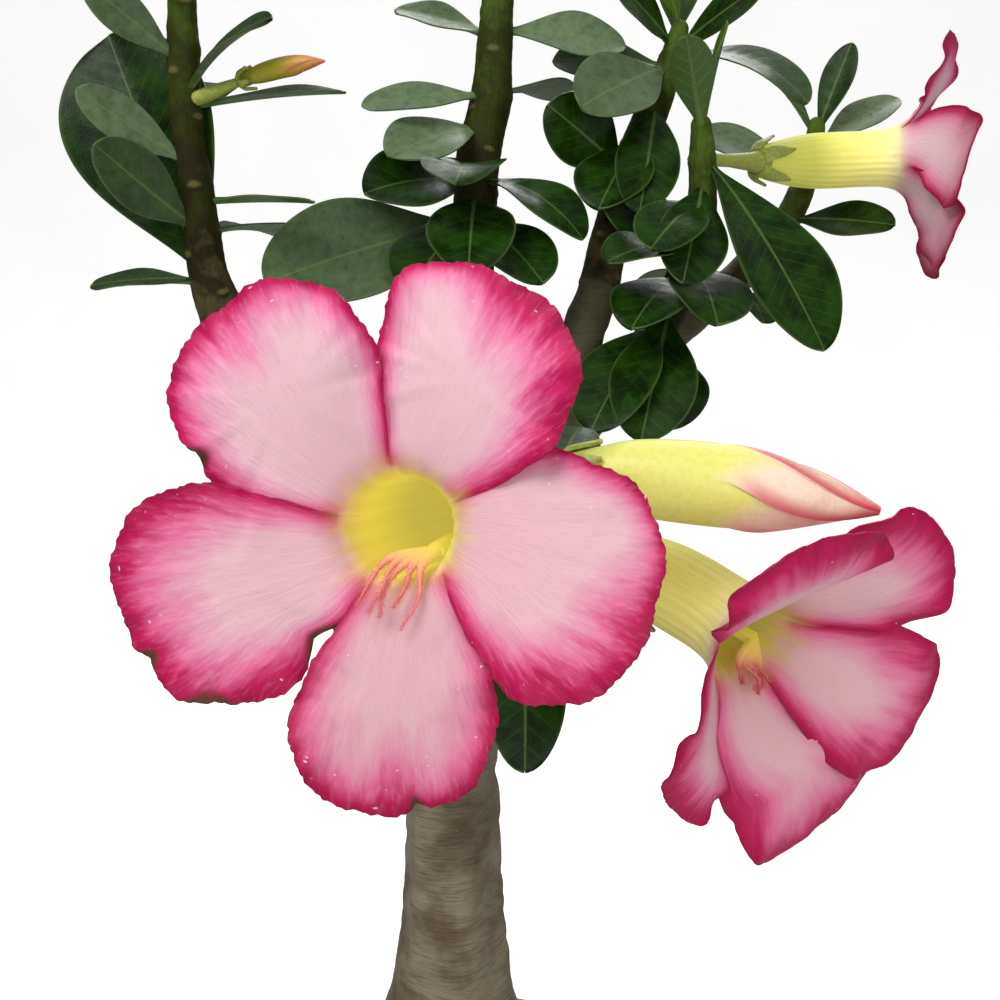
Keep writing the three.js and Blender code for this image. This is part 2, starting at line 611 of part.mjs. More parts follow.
// A lobe: the way it points, how far it reaches, and its half width and widest place on each side.
const lobe = (turn, reach, cw, ccw, cwPeak = 0.6, ccwPeak = 0.64, rise = 0) =>
  ({ turn, reach, cw, ccw, cwPeak, ccwPeak, rise });

// Places: the mouth's centre, the way the flower faces, and where its tube meets the stalk.
const FLOWERS = {
  main: {
    frame: flowerFrame([-1, -131, 330], [-0.06, -0.985, 0.15]),
    seat: v(17, -93, 329),
    stalk: v(21, -83, 328),
    root: 62,
    lobes: [
      lobe(64, 37, 14.4, 13.6, 0.5, 0.72),
      lobe(128, 37.4, 14, 15.2, 0.52, 0.52),
      lobe(199, 38, 14.2, 16, 0.54, 0.54),
      lobe(271, 38, 13, 13.7, 0.56, 0.55),
      lobe(343, 37, 15.5, 16.6, 0.47, 0.46),
    ],
    flare: 9,
    reflex: 1,
    twist: 0.1,
    ruffle: 0.7,
    tails: [[-4.8, -10.5, 4.6], [-3.2, -11.5, 5.4], [-1.4, -12, 5.8], [0.4, -10.6, 5.4], [1.4, -13.6, 6]],
  },
  side: {
    frame: flowerFrame([57, -101, 304], [0.444, -0.838, -0.316]),
    seat: v(29, -81, 316),
    stalk: v(20, -81, 325),
    root: 50,
    lobes: [
      lobe(45, 34, 11.5, 13.5),
      lobe(113, 32, 14, 13, 0.6, 0.6, 5),
      lobe(219, 29, 9, 13, 0.66, 0.74, 2),
      lobe(301, 40.5, 18.5, 12, 0.64, 0.66),
      lobe(335, 38.5, 13, 14.5, 0.58, 0.62),
    ],
    flare: 13,
    reflex: 2,
    twist: 0.12,
    ruffle: 1.1,
    tails: [[-3, -6, 3], [-1, -7, 4], [1, -7, 4], [3, -6, 3], [0, -8, 4]],
  },
  back: {
    frame: flowerFrame([130, 50, 403], [0.96, -0.26, 0.03]),
    seat: v(86, 37, 400),
    stalk: v(66, 15, 398),
    root: 20,
    lobes: [
      lobe(16, 36, 13, 13),
      lobe(92, 33, 13.5, 13.5, 0.6, 0.6, 1),
      lobe(193, 33, 13, 11, 0.6, 0.6, 2),
      lobe(239, 35, 12.5, 12.5, 0.6, 0.6, -1),
      lobe(290, 36, 11, 11, 0.6, 0.6, -2),
    ],
    flare: 13,
    reflex: 2,
    twist: 0.24,
    ruffle: 0.9,
    tails: [[-3, -6, 3], [-1, -7, 4], [1, -7, 4], [3, -6, 3], [0, -8, 4]],
  },
};

const BUDS = {
  front: {
    seat: v(24.6, -102, 333.4),
    tip: v(75, -107, 328),
    stalk: v(21, -83, 328),
    radius: 6.9,
    twist: 3,
    bow: 2,
  },
  left: {
    seat: v(-46, -14, 412),
    tip: v(-26, -20, 415),
    stalk: v(-61, -8, 408),
    radius: 2.3,
    twist: 3,
    bow: 1.5,
  },
};

// Materials

const paint = (color, roughness) => new THREE.MeshStandardMaterial({ color, roughness, metalness: 0 });
const clay = paint(0xb5673f, 0.85);
const earth = paint(0x3b2c21, 0.95);
const bark = paint(0x6d6350, 0.8);
const foliage = paint(0x2c4a22, 0.4);
const petal = paint(0xf0a3bd, 0.55);
const tailPink = paint(0xe8838a, 0.6);
const budYellow = paint(0xdcd873, 0.5);

// Assembly

const plant = new THREE.Group();
plant.name = "potted_adenium";
plant.add(meshOf("pot", potSolid(), clay));
plant.add(meshOf("soil", largest(soilSolid()), earth));
plant.add(meshOf("caudex", caudexSolid(), bark));

// Each bloom hangs on one stem, with its stalk and sepals grown into that stem.
const BLOOMS = {
  front: [FLOWERS.main, FLOWERS.side, BUDS.front],
  rightFront: [FLOWERS.back],
  left: [BUDS.left],
};

function calyxOf(bloom) {
  if (!bloom.frame) {
    const size = Math.min(0.8, bloom.radius / 6);
    return calyxSolid(bloom.stalk, bloom.seat, budCurve(bloom).getTangent(0), size);
  }
  const along = tubeCurve(bloom.frame, bloom.seat).getTangent(1).negate();
  return calyxSolid(bloom.stalk, bloom.seat, along, 1);
}

const label = (key) => key.replace(/[A-Z]/g, (c) => "_" + c.toLowerCase());

for (const [key, stem] of Object.entries(STEMS)) {
  const grown = join([leafyStem(stem), ...(BLOOMS[key] ?? []).map(calyxOf)]);
  plant.add(meshOf(`${label(key)}_stem`, grown, foliage));
}

for (const [key, flower] of Object.entries(FLOWERS)) {
  plant.add(meshOf(`${key}_corolla`, corollaSolid(flower), petal));
  plant.add(meshOf(`${key}_stamens`, stamensSolid(flower), tailPink));
}

for (const [key, bud] of Object.entries(BUDS)) plant.add(meshOf(`${key}_bud`, budSolid(bud), budYellow));

export default plant;
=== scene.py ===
# %% [markdown]
# # A potted desert rose
# A desert rose (adenium) grows from a swollen trunk, the caudex. Its bare branches end in leafy stems,
# and the stems end in trumpet flowers and buds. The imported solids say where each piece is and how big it
# is. This script lays a finer mesh over each of them and paints it with nodes, so nothing is an image.
# The frame is loaded first, because every piece below is placed by it.

# %% The frame
import math

import bpy
import numpy as np
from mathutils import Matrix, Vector, noise


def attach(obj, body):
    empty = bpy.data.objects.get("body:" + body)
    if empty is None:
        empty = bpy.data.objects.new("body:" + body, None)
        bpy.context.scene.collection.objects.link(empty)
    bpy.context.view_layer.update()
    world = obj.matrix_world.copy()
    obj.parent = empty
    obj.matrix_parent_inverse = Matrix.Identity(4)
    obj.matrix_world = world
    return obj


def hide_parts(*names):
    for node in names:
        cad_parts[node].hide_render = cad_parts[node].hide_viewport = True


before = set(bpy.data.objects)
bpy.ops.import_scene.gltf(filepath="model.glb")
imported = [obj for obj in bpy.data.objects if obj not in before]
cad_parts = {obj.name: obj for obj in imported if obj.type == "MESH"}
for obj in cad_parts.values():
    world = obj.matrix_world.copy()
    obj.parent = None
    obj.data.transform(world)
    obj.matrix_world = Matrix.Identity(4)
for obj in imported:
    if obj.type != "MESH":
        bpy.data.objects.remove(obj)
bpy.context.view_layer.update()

MM = 0.001
BODY = "root"

# %% [markdown]
# ## Camera
# The photograph was taken from just above the flowers, about 15 cm from the nearest one. A camera that
# close makes the near flower large and the leaves behind it small. A long lens from far away would give
# other proportions, so the place comes first, and the lens is then chosen to fill the frame.

# %% Camera
CAMERA_PLACE = (0.0135, -0.284, 0.361)
CAMERA_PITCH = 10
CAMERA_LENS = 40

scene = bpy.context.scene
camera = bpy.data.objects.new("camera", bpy.data.cameras.new("camera"))
scene.collection.objects.link(camera)
scene.camera = camera
camera.location = CAMERA_PLACE
camera.rotation_euler = (math.radians(90 - CAMERA_PITCH), 0, 0)
camera.data.lens = CAMERA_LENS
camera.data.clip_start = 0.01
print("camera looks", CAMERA_PITCH, "degrees down through a", CAMERA_LENS, "mm lens")

# %% [markdown]
# ## Helpers for colour and nodes
# A material here is a small tree of nodes. Writing each node in full would hide the idea, so one class
# adds nodes and wires in a line each. Colours are given as a painter's red, green and blue from 0 to 255
# and turned into the linear values that a renderer uses.

# %% Helpers for colour and nodes
def paint(red, green, blue):
    """A colour in 0 to 255, as the linear colour that a socket takes."""
    shares = [c / 255 for c in (red, green, blue)]
    return tuple(s / 12.92 if s < 0.04045 else ((s + 0.055) / 1.055) ** 2.4 for s in shares) + (1.0,)


class Desk:
    """Short ways to add nodes to one tree and wire them up."""

    def __init__(self, tree):
        self.tree = tree

    def feed(self, socket, value):
        if isinstance(value, bpy.types.NodeSocket):
            self.tree.links.new(value, socket)
        else:
            socket.default_value = value

    def node(self, kind, inputs=None, **settings):
        made = self.tree.nodes.new("ShaderNode" + kind)
        for key, value in settings.items():
            setattr(made, key, value)
        for key, value in (inputs or {}).items():
            self.feed(made.inputs[key], value)
        return made

    def maths(self, operation, *values):
        return self.node("Math", dict(enumerate(values)), operation=operation).outputs[0]

    def plus(self, first, second):
        return self.maths("ADD", first, second)

    def minus(self, first, second):
        return self.maths("SUBTRACT", first, second)

    def times(self, first, second):
        return self.maths("MULTIPLY", first, second)

    def scaled(self, mask, size, start):
        """A number that goes from start, where the mask is 0, to start and size, where it is 1."""
        return self.plus(self.times(mask, size), start)

    def sway(self, mask, size):
        """A number that goes half the size down and half the size up as the mask goes from 0 to 1."""
        return self.times(self.minus(mask, 0.5), size)

    def position(self):
        return self.node("NewGeometry").outputs["Position"]

    def mark(self, name, output="Fac"):
        """A number or vector that the mesh carries at each point."""
        return self.node("Attribute", attribute_name=name).outputs[output]

    def parts(self, vector):
        return self.node("SeparateXYZ", {0: vector}).outputs

    def rise(self, value, low, high):
        """0 below low, 1 above high, and smooth between."""
        inputs = {"Value": value, "From Min": low, "From Max": high}
        return self.node("MapRange", inputs, interpolation_type="SMOOTHSTEP").outputs[0]

    def fall(self, value, low, high):
        """1 below low, 0 above high, and smooth between."""
        return self.minus(1.0, self.rise(value, low, high))

    def mix(self, share, first, second, how="MIX"):
        inputs = {0: share, 6: first, 7: second}
        return self.node("Mix", inputs, data_type="RGBA", blend_type=how).outputs[2]

    def tint(self, base, mask, strength, colour):
        """The base, with the colour laid over it where the mask is, at a strength from 0 to 1."""
        return self.mix(self.times(mask, strength), base, colour)

    def ramp(self, value, stops):
        made = self.node("ValToRGB", {0: value})
        line = made.color_ramp.elements
        line[0].position, line[0].color = stops[0]
        line[-1].position, line[-1].color = stops[-1]
        for place, colour in stops[1:-1]:
            line.new(place).color = colour
        return made.outputs[0]

    def use(self, group, inputs):
        made = self.node("Group", node_tree=group)
        for key, value in inputs.items():
            self.feed(made.inputs[key], value)
        return made.outputs[0]

    def emboss(self, shader, height, strength, distance):
        """Bends the shader's normals by a height map that is distance deep, in metres."""
        inputs = {"Strength": strength, "Distance": distance, "Height": height}
        self.feed(shader.inputs["Normal"], self.node("Bump", inputs).outputs[0])


def effect(name, inputs, output="Mask"):
    """A new node group with named inputs and one output. Returns the group, its desk, inputs and output."""
    group = bpy.data.node_groups.new(name, "ShaderNodeTree")
    for key, value in inputs.items():
        kind = "NodeSocketVector" if value is None else "NodeSocketFloat"
        socket = group.interface.new_socket(key, in_out="INPUT", socket_type=kind)
        if value is not None:
            socket.default_value = value
    group.interface.new_socket(output, in_out="OUTPUT", socket_type="NodeSocketFloat")
    desk = Desk(group)
    source = group.nodes.new("NodeGroupInput").outputs
    sink = group.nodes.new("NodeGroupOutput").inputs[0]
    return group, desk, source, sink


def finish(name, **plain):
    """A new material: its desk and its shader. Plain values go straight onto the shader's sockets."""
    material = bpy.data.materials.new(name)
    material.use_nodes = True
    shader = material.node_tree.nodes["Principled BSDF"]
    for key, value in plain.items():
        socket = key.replace("_", " ").title().replace("Ior", "IOR")
        shader.inputs[socket].default_value = value
    return material, Desk(material.node_tree), shader


def tell(material):
    """Prints how many nodes a finish is made of."""
    print(f"{material.name}: {len(material.node_tree.nodes)} nodes")


print("a petal pink in linear light:", [round(x, 3) for x in paint(240, 170, 195)])

# %% [markdown]
# ## Studio
# Petals are thin and pale, so hard light would burn them out. The main lamp is large and soft, above and
# to the left. A weak one in front fills the shadows, and one behind parts the leaves from each other.
# The world is bright overhead and dim at eye level, so that waxy leaves mirror something dark and keep
# their deep green, but the camera itself sees a white sky. The plain view transform keeps the pinks as
# pure as they are painted.

# %% Studio
WORLD_OVERHEAD = (0.8, 0.8, 0.8, 1.0)
WORLD_LEVEL = (0.1, 0.1, 0.1, 1.0)
WORLD_BELOW = (0.2, 0.2, 0.2, 1.0)
WORLD_SEEN = (0.97, 0.97, 0.97, 1.0)
DIMMEST_SKY = 0.25
LAMPS = {
    "key_lamp": {"place": (-0.55, -0.75, 1.25), "size": 0.7, "watts": 11.5},
    "fill_lamp": {"place": (0.35, -1.1, 0.5), "size": 0.8, "watts": 5},
    "back_lamp": {"place": (0.2, 0.9, 1.1), "size": 0.7, "watts": 6},
}
LAMP_TARGET = Vector((0.02, -0.04, 0.33))

scene.view_settings.view_transform = "Standard"
world = bpy.data.worlds.new("studio")
scene.world = world
world.use_nodes = True
desk = Desk(world.node_tree)
height_of_sky = desk.parts(desk.node("TexCoord").outputs["Generated"])[2]
sky = desk.ramp(height_of_sky, [(0.0, WORLD_BELOW), (DIMMEST_SKY, WORLD_LEVEL), (1.0, WORLD_OVERHEAD)])
seen = desk.node("LightPath").outputs["Is Camera Ray"]
desk.feed(world.node_tree.nodes["Background"].inputs["Color"], desk.mix(seen, sky, WORLD_SEEN))

for name, lamp in LAMPS.items():
    data = bpy.data.lights.new(name, "AREA")
    data.size = lamp["size"]
    data.energy = lamp["watts"]
    light = bpy.data.objects.new(name, data)
    light.location = lamp["place"]
    light.rotation_euler = (LAMP_TARGET - light.location).to_track_quat("-Z", "Y").to_euler()
    scene.collection.objects.link(light)
print("lamps:", ", ".join(LAMPS))

# %% [markdown]
# ## Effects that several finishes share
# Bark, clay, leaves and petals all need the same few irregularities at different scales: soft blotches,
# long fibres, small pores and scattered flecks. Each is a node group, built once and then placed in
# a material with that material's own sizes. A group gives out one mask, and the material decides what
# the mask does.

# %% Blotches
blotches, desk, source, sink = effect("Blotches", {"Place": None, "Scale": 50.0, "Low": 0.35, "High": 0.65})
cloud = desk.node("TexNoise", {"Vector": source[0], "Scale": source[1], "Detail": 3.0, "Roughness": 0.6})
desk.feed(sink, desk.rise(cloud.outputs[0], source[2], source[3]))

# %% Fibres
fibres, desk, source, sink = effect("Fibres", {"Place": None, "Across": 1.0, "Along": 0.1})
stretch = desk.node("CombineXYZ", {0: source[1], 1: source[1], 2: source[2]})
long_place = desk.node("VectorMath", {0: source[0], 1: stretch.outputs[0]}, operation="MULTIPLY")
coarse = desk.node("TexNoise", {"Vector": long_place.outputs[0], "Scale": 1.0, "Detail": 3.0})
desk.feed(sink, coarse.outputs[0])

# %% Pores
pores, desk, source, sink = effect("Pores", {"Place": None, "Scale": 900.0})
cells = desk.node("TexVoronoi", {"Vector": source[0], "Scale": source[1]})
grain = desk.node("TexNoise", {"Vector": source[0], "Scale": source[1], "Detail": 2.0})
desk.feed(sink, desk.times(cells.outputs[0], grain.outputs[0]))

# %% Flecks
flecks, desk, source, sink = effect("Flecks", {"Place": None, "Scale": 300.0, "Share": 0.1})
dots = desk.node("TexVoronoi", {"Vector": source[0], "Scale": source[1]})
near = desk.fall(dots.outputs["Distance"], 0.1, 0.28)
pick = desk.maths("LESS_THAN", desk.parts(dots.outputs["Color"])[0], source[2])
desk.feed(sink, desk.times(near, pick))
print("effects:", ", ".join(group.name for group in bpy.data.node_groups))

# %% [markdown]
# ## Meshes in mesh code
# A plant is made of sheets (leaves, petals) and rods (stems, tails). Both are grids of points: a sheet is
# a grid given thickness and closed round its edge, and a rod is a grid rolled up and capped. Working on
# whole grids with numpy keeps this fast, and each point can carry marks, such as its distance from
# the petal's margin, that the paint reads later.

# %% Heaps of points and faces
class Heap:
    """Collects parts of one piece: points in millimetres, faces, a material number, and marks."""

    def __init__(self, *mark_names):
        self.points, self.faces, self.materials = [], [], []
        self.marks = {name: [] for name in mark_names}
        self.count = 0

    def add(self, points, faces, material=0, **marks):
        self.points.append(points)
        self.faces += [tuple(int(i) + self.count for i in face) for face in faces]
        self.materials += [material] * len(faces)
        for name, rows in self.marks.items():
            value = marks.get(name, 0.0)
            rows.append(value if np.ndim(value) else np.full(len(points), float(value)))
        self.count += len(points)


def new_piece(name, points, faces, materials, numbers=None, marks=None, sharp=50):
    """A mesh object from points in millimetres, smooth apart from edges sharper than sharp degrees."""
    mesh = bpy.data.meshes.new(name)
    mesh.from_pydata((np.asarray(points) * MM).tolist(), [], faces)
    for key, values in (marks or {}).items():
        kind = "FLOAT_VECTOR" if values.ndim == 2 else "FLOAT"
        layer = mesh.attributes.new(key, kind, "POINT")
        layer.data.foreach_set("vector" if values.ndim == 2 else "value", values.astype(np.float32).ravel())
    for material in materials:
        mesh.materials.append(material)
    if numbers is not None:
        mesh.polygons.foreach_set("material_index", numbers)
    mesh.shade_smooth()
    mesh.set_sharp_from_angle(angle=math.radians(sharp))
    mesh.update()
    piece = bpy.data.objects.new(name, mesh)
    scene.collection.objects.link(piece)
    return piece


def piece_of(name, heap, materials, sharp=50):
    marks = {key: np.concatenate(rows) for key, rows in heap.marks.items()}
    points = np.concatenate(heap.points)
    return new_piece(name, points, heap.faces, materials, heap.materials, marks, sharp)


def place(piece, node, slot):
    """The piece rides on the plant's body and stands for its node. Its slot is not used."""
    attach(piece, BODY)
    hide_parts(node)
    triangles = sum(len(face.vertices) - 2 for face in piece.data.polygons)
    print(f"{piece.name}: {triangles} triangles, in place of {node}")


# %% Grids and sheets
def grid_faces(rows, columns, ring=False):
    """Quads over a grid of rows and columns of points. A ring joins the last column to the first."""
    across = columns if ring else columns - 1
    i, j = np.meshgrid(np.arange(rows - 1), np.arange(across), indexing="ij")
    near, far = i * columns + j, i * columns + (j + 1) % columns
    return np.stack([near, near + columns, far + columns, far], axis=-1).reshape(-1, 4)


def capped_rings(rows, sides):
    """The faces of a grid rolled up into a tube, with one large face over each end."""
    faces = [tuple(face[::-1]) for face in grid_faces(rows, sides, ring=True)]
    return faces + [tuple(range(sides))[::-1], tuple(range((rows - 1) * sides, rows * sides))]


def round_angles(sides):
    """Angles round a circle, one for each side."""
    return np.linspace(0, math.tau, sides, endpoint=False)


def normals_of(points, quads):
    corners = points[quads]
    facing = np.cross(corners[:, 2] - corners[:, 0], corners[:, 3] - corners[:, 1])
    normals = np.zeros_like(points)
    for corner in range(4):
        np.add.at(normals, quads[:, corner], facing)
    return normals / np.maximum(np.linalg.norm(normals, axis=1, keepdims=True), 1e-12)


def thicken(points, quads, thickness):
    """Front and back copies of a sheet, half the thickness each way, with a rim round its open edges.
    Returns the points, the faces, and 0 or 1 for points in front or behind."""
    half = normals_of(points, quads) * (np.broadcast_to(thickness, len(points))[:, None] / 2)
    count = len(points)
    starts, ends = quads.ravel(), np.roll(quads, -1, axis=1).ravel()
    is_open = ~np.isin(starts * count + ends, ends * count + starts)
    a, b = starts[is_open], ends[is_open]
    rim = np.stack([b, a, a + count, b + count], axis=-1)
    faces = np.concatenate([quads, quads[:, ::-1] + count, rim])
    return np.concatenate([points + half, points - half]), faces, np.repeat([0.0, 1.0], count)


print("a grid of 3 rows and 4 columns has", len(grid_faces(3, 4)), "faces")

# %% Lines and rods
FIRST_SIDE = (0.31, -0.12, 0.94)
TINY_STEP = 1e-3


def unit(vector):
    return np.asarray(vector, float) / np.linalg.norm(vector)


def spline(points, share):
    """A point on a smooth curve through the points, at a share of the way along them."""
    points = np.asarray(points, float)
    last = len(points) - 1
    at = min(max(share, 0.0), 1.0) * last
    i = min(int(at), last - 1)
    w = at - i
    p1, p2 = points[i], points[i + 1]
    p0 = points[i - 1] if i > 0 else 2 * p1 - p2
    p3 = points[i + 2] if i + 2 <= last else 2 * p2 - p1
    d0, d1, d2 = (np.linalg.norm(b - a) ** 0.5 for a, b in ((p0, p1), (p1, p2), (p2, p3)))
    m1 = ((p1 - p0) / d0 - (p2 - p0) / (d0 + d1) + (p2 - p1) / d1) * d1
    m2 = ((p2 - p1) / d1 - (p3 - p1) / (d1 + d2) + (p3 - p2) / d2) * d1
    return p1 + m1 * w + (3 * (p2 - p1) - 2 * m1 - m2) * w**2 + (2 * (p1 - p2) + m1 + m2) * w**3


def bent_line(start, middle, end):
    """A smooth bend from start to end that leans towards the middle point."""
    return lambda t: start * (1 - t) ** 2 + middle * 2 * t * (1 - t) + end * t**2


def at_shares(values, shares):
    """Values spread evenly from 0 to 1, read off at shares of the way."""
    last = len(values) - 1
    return np.interp(np.asarray(shares) * last, range(last + 1), values)


def step_lengths(points):
    return np.linalg.norm(np.diff(points, axis=0), axis=1)


def frames_along(curve, shares, first_side=FIRST_SIDE):
    """Points, directions and two square sides along a curve, carried without twisting."""
    at = np.array([curve(t) for t in shares])
    ahead = np.array([curve(min(t + TINY_STEP, 1)) - curve(max(t - TINY_STEP, 0)) for t in shares])
    along = ahead / np.linalg.norm(ahead, axis=1, keepdims=True)
    sides = []
    side = np.asarray(first_side, float)
    for direction in along:
        side = unit(side - direction * side.dot(direction))
        sides.append(side)
    sides = np.array(sides)
    return at, along, sides, np.cross(along, sides)


def rod(heap, frames, radii, sides, material=0, marks=None):
    """A closed rod: rings round the frames, with radii for each ring or for each point of each ring."""
    at, _, side, across = frames
    angle = round_angles(sides)
    radii = np.asarray(radii, float)
    radii = radii[:, None] if radii.ndim == 1 else radii
    reach = radii * np.ones(sides)
    ring = at[:, None] + reach[..., None] * (
        side[:, None] * np.cos(angle)[None, :, None] + across[:, None] * np.sin(angle)[None, :, None]
    )
    rows = len(at)
    spread = {key: (np.asarray(value, float).reshape(rows, -1) * np.ones(sides)).ravel()
              for key, value in (marks or {}).items()}
    heap.add(ring.reshape(-1, 3), capped_rings(rows, sides), material, **spread)


print("a spline through a right angle passes", np.round(spline([(0, 0, 0), (1, 0, 0), (1, 1, 0)], 0.25), 2))

# %% [markdown]
# ## The floor
# A real studio sweep is a sheet of paper that runs from under the object up a wall. Here it is one strip
# of faces whose profile is a floor, a quarter circle and a wall. A photographer keeps the paper white but
# stands black cards near the plant, so that it isn't lit from all sides. Here the paper itself does both:
# it's white and glows a little for the camera, and it's a dim grey for every other ray of light.

# %% The floor
PAPER_GLOW = 0.6
GLOW_STARTS = 0.08
GLOW_FULL = 0.4
PAPER_GREY = paint(190, 190, 190)
PAPER_WHITE = paint(240, 240, 239)
PAPER_SHADED = paint(234, 234, 233)
PAPER_BLOTCH = 3.0
SWEEP_RADIUS = 0.6
SWEEP_BACK = 1.6
SWEEP_FRONT = -2.2
SWEEP_TOP = 2.6
SWEEP_HALF = 3.0
SWEEP_STEPS = 17

sweep_paper, desk, shader = finish("sweep_paper", roughness=0.9, emission_color=(1, 1, 1, 1))
seen = desk.node("LightPath").outputs["Is Camera Ray"]
from_pot = desk.node("VectorMath", {0: desk.position()}, operation="LENGTH")
glow = desk.times(desk.rise(from_pot.outputs["Value"], GLOW_STARTS, GLOW_FULL), PAPER_GLOW)
desk.feed(shader.inputs["Emission Strength"], desk.times(seen, glow))
paper_mottle = desk.use(blotches, {"Place": desk.position(), "Scale": PAPER_BLOTCH})
white_paper = desk.mix(paper_mottle, PAPER_WHITE, PAPER_SHADED)
desk.feed(shader.inputs["Base Color"], desk.mix(seen, PAPER_GREY, white_paper))

arc = np.radians(np.linspace(0, 90, SWEEP_STEPS))
profile = [(SWEEP_FRONT, 0.0)]
profile += [(SWEEP_BACK + SWEEP_RADIUS * math.sin(a), SWEEP_RADIUS * (1 - math.cos(a))) for a in arc]
profile.append((SWEEP_BACK + SWEEP_RADIUS, SWEEP_TOP))
sweep_points = np.array([(x, y, z) for y, z in profile for x in (-SWEEP_HALF, SWEEP_HALF)]) / MM
sweep = new_piece("sweep", sweep_points, grid_faces(len(profile), 2)[:, ::-1].tolist(), [sweep_paper])
print("the sweep rises", SWEEP_TOP, "m behind the plant")

# %% [markdown]
# ## The plan of the plant
# These are the same places, in millimetres, that the solids were made from: the line that each stem
# follows, its radii, and every leaf by the place of its tip. A leaf could be scattered by a rule, but the
# ones that the photograph shows are placed one by one, so that they hide and show the right things. Only
# the whorls at the tops and along the two hindmost stems follow a rule: each leaf stands a golden angle
# on from the last.

# %% Stems and leaves
UP = (0, 0, 1)


def leaf_at(at, tip, wide, droop=20, face=UP, pale=0.0):
    """A leaf: its share of the leafy stem, its tip, width, bend, the way its face looks, and its bloom, which
    is partly a painted sheen.
    """
    return {"at": at, "tip": tip, "wide": wide, "droop": droop, "face": face, "pale": pale}


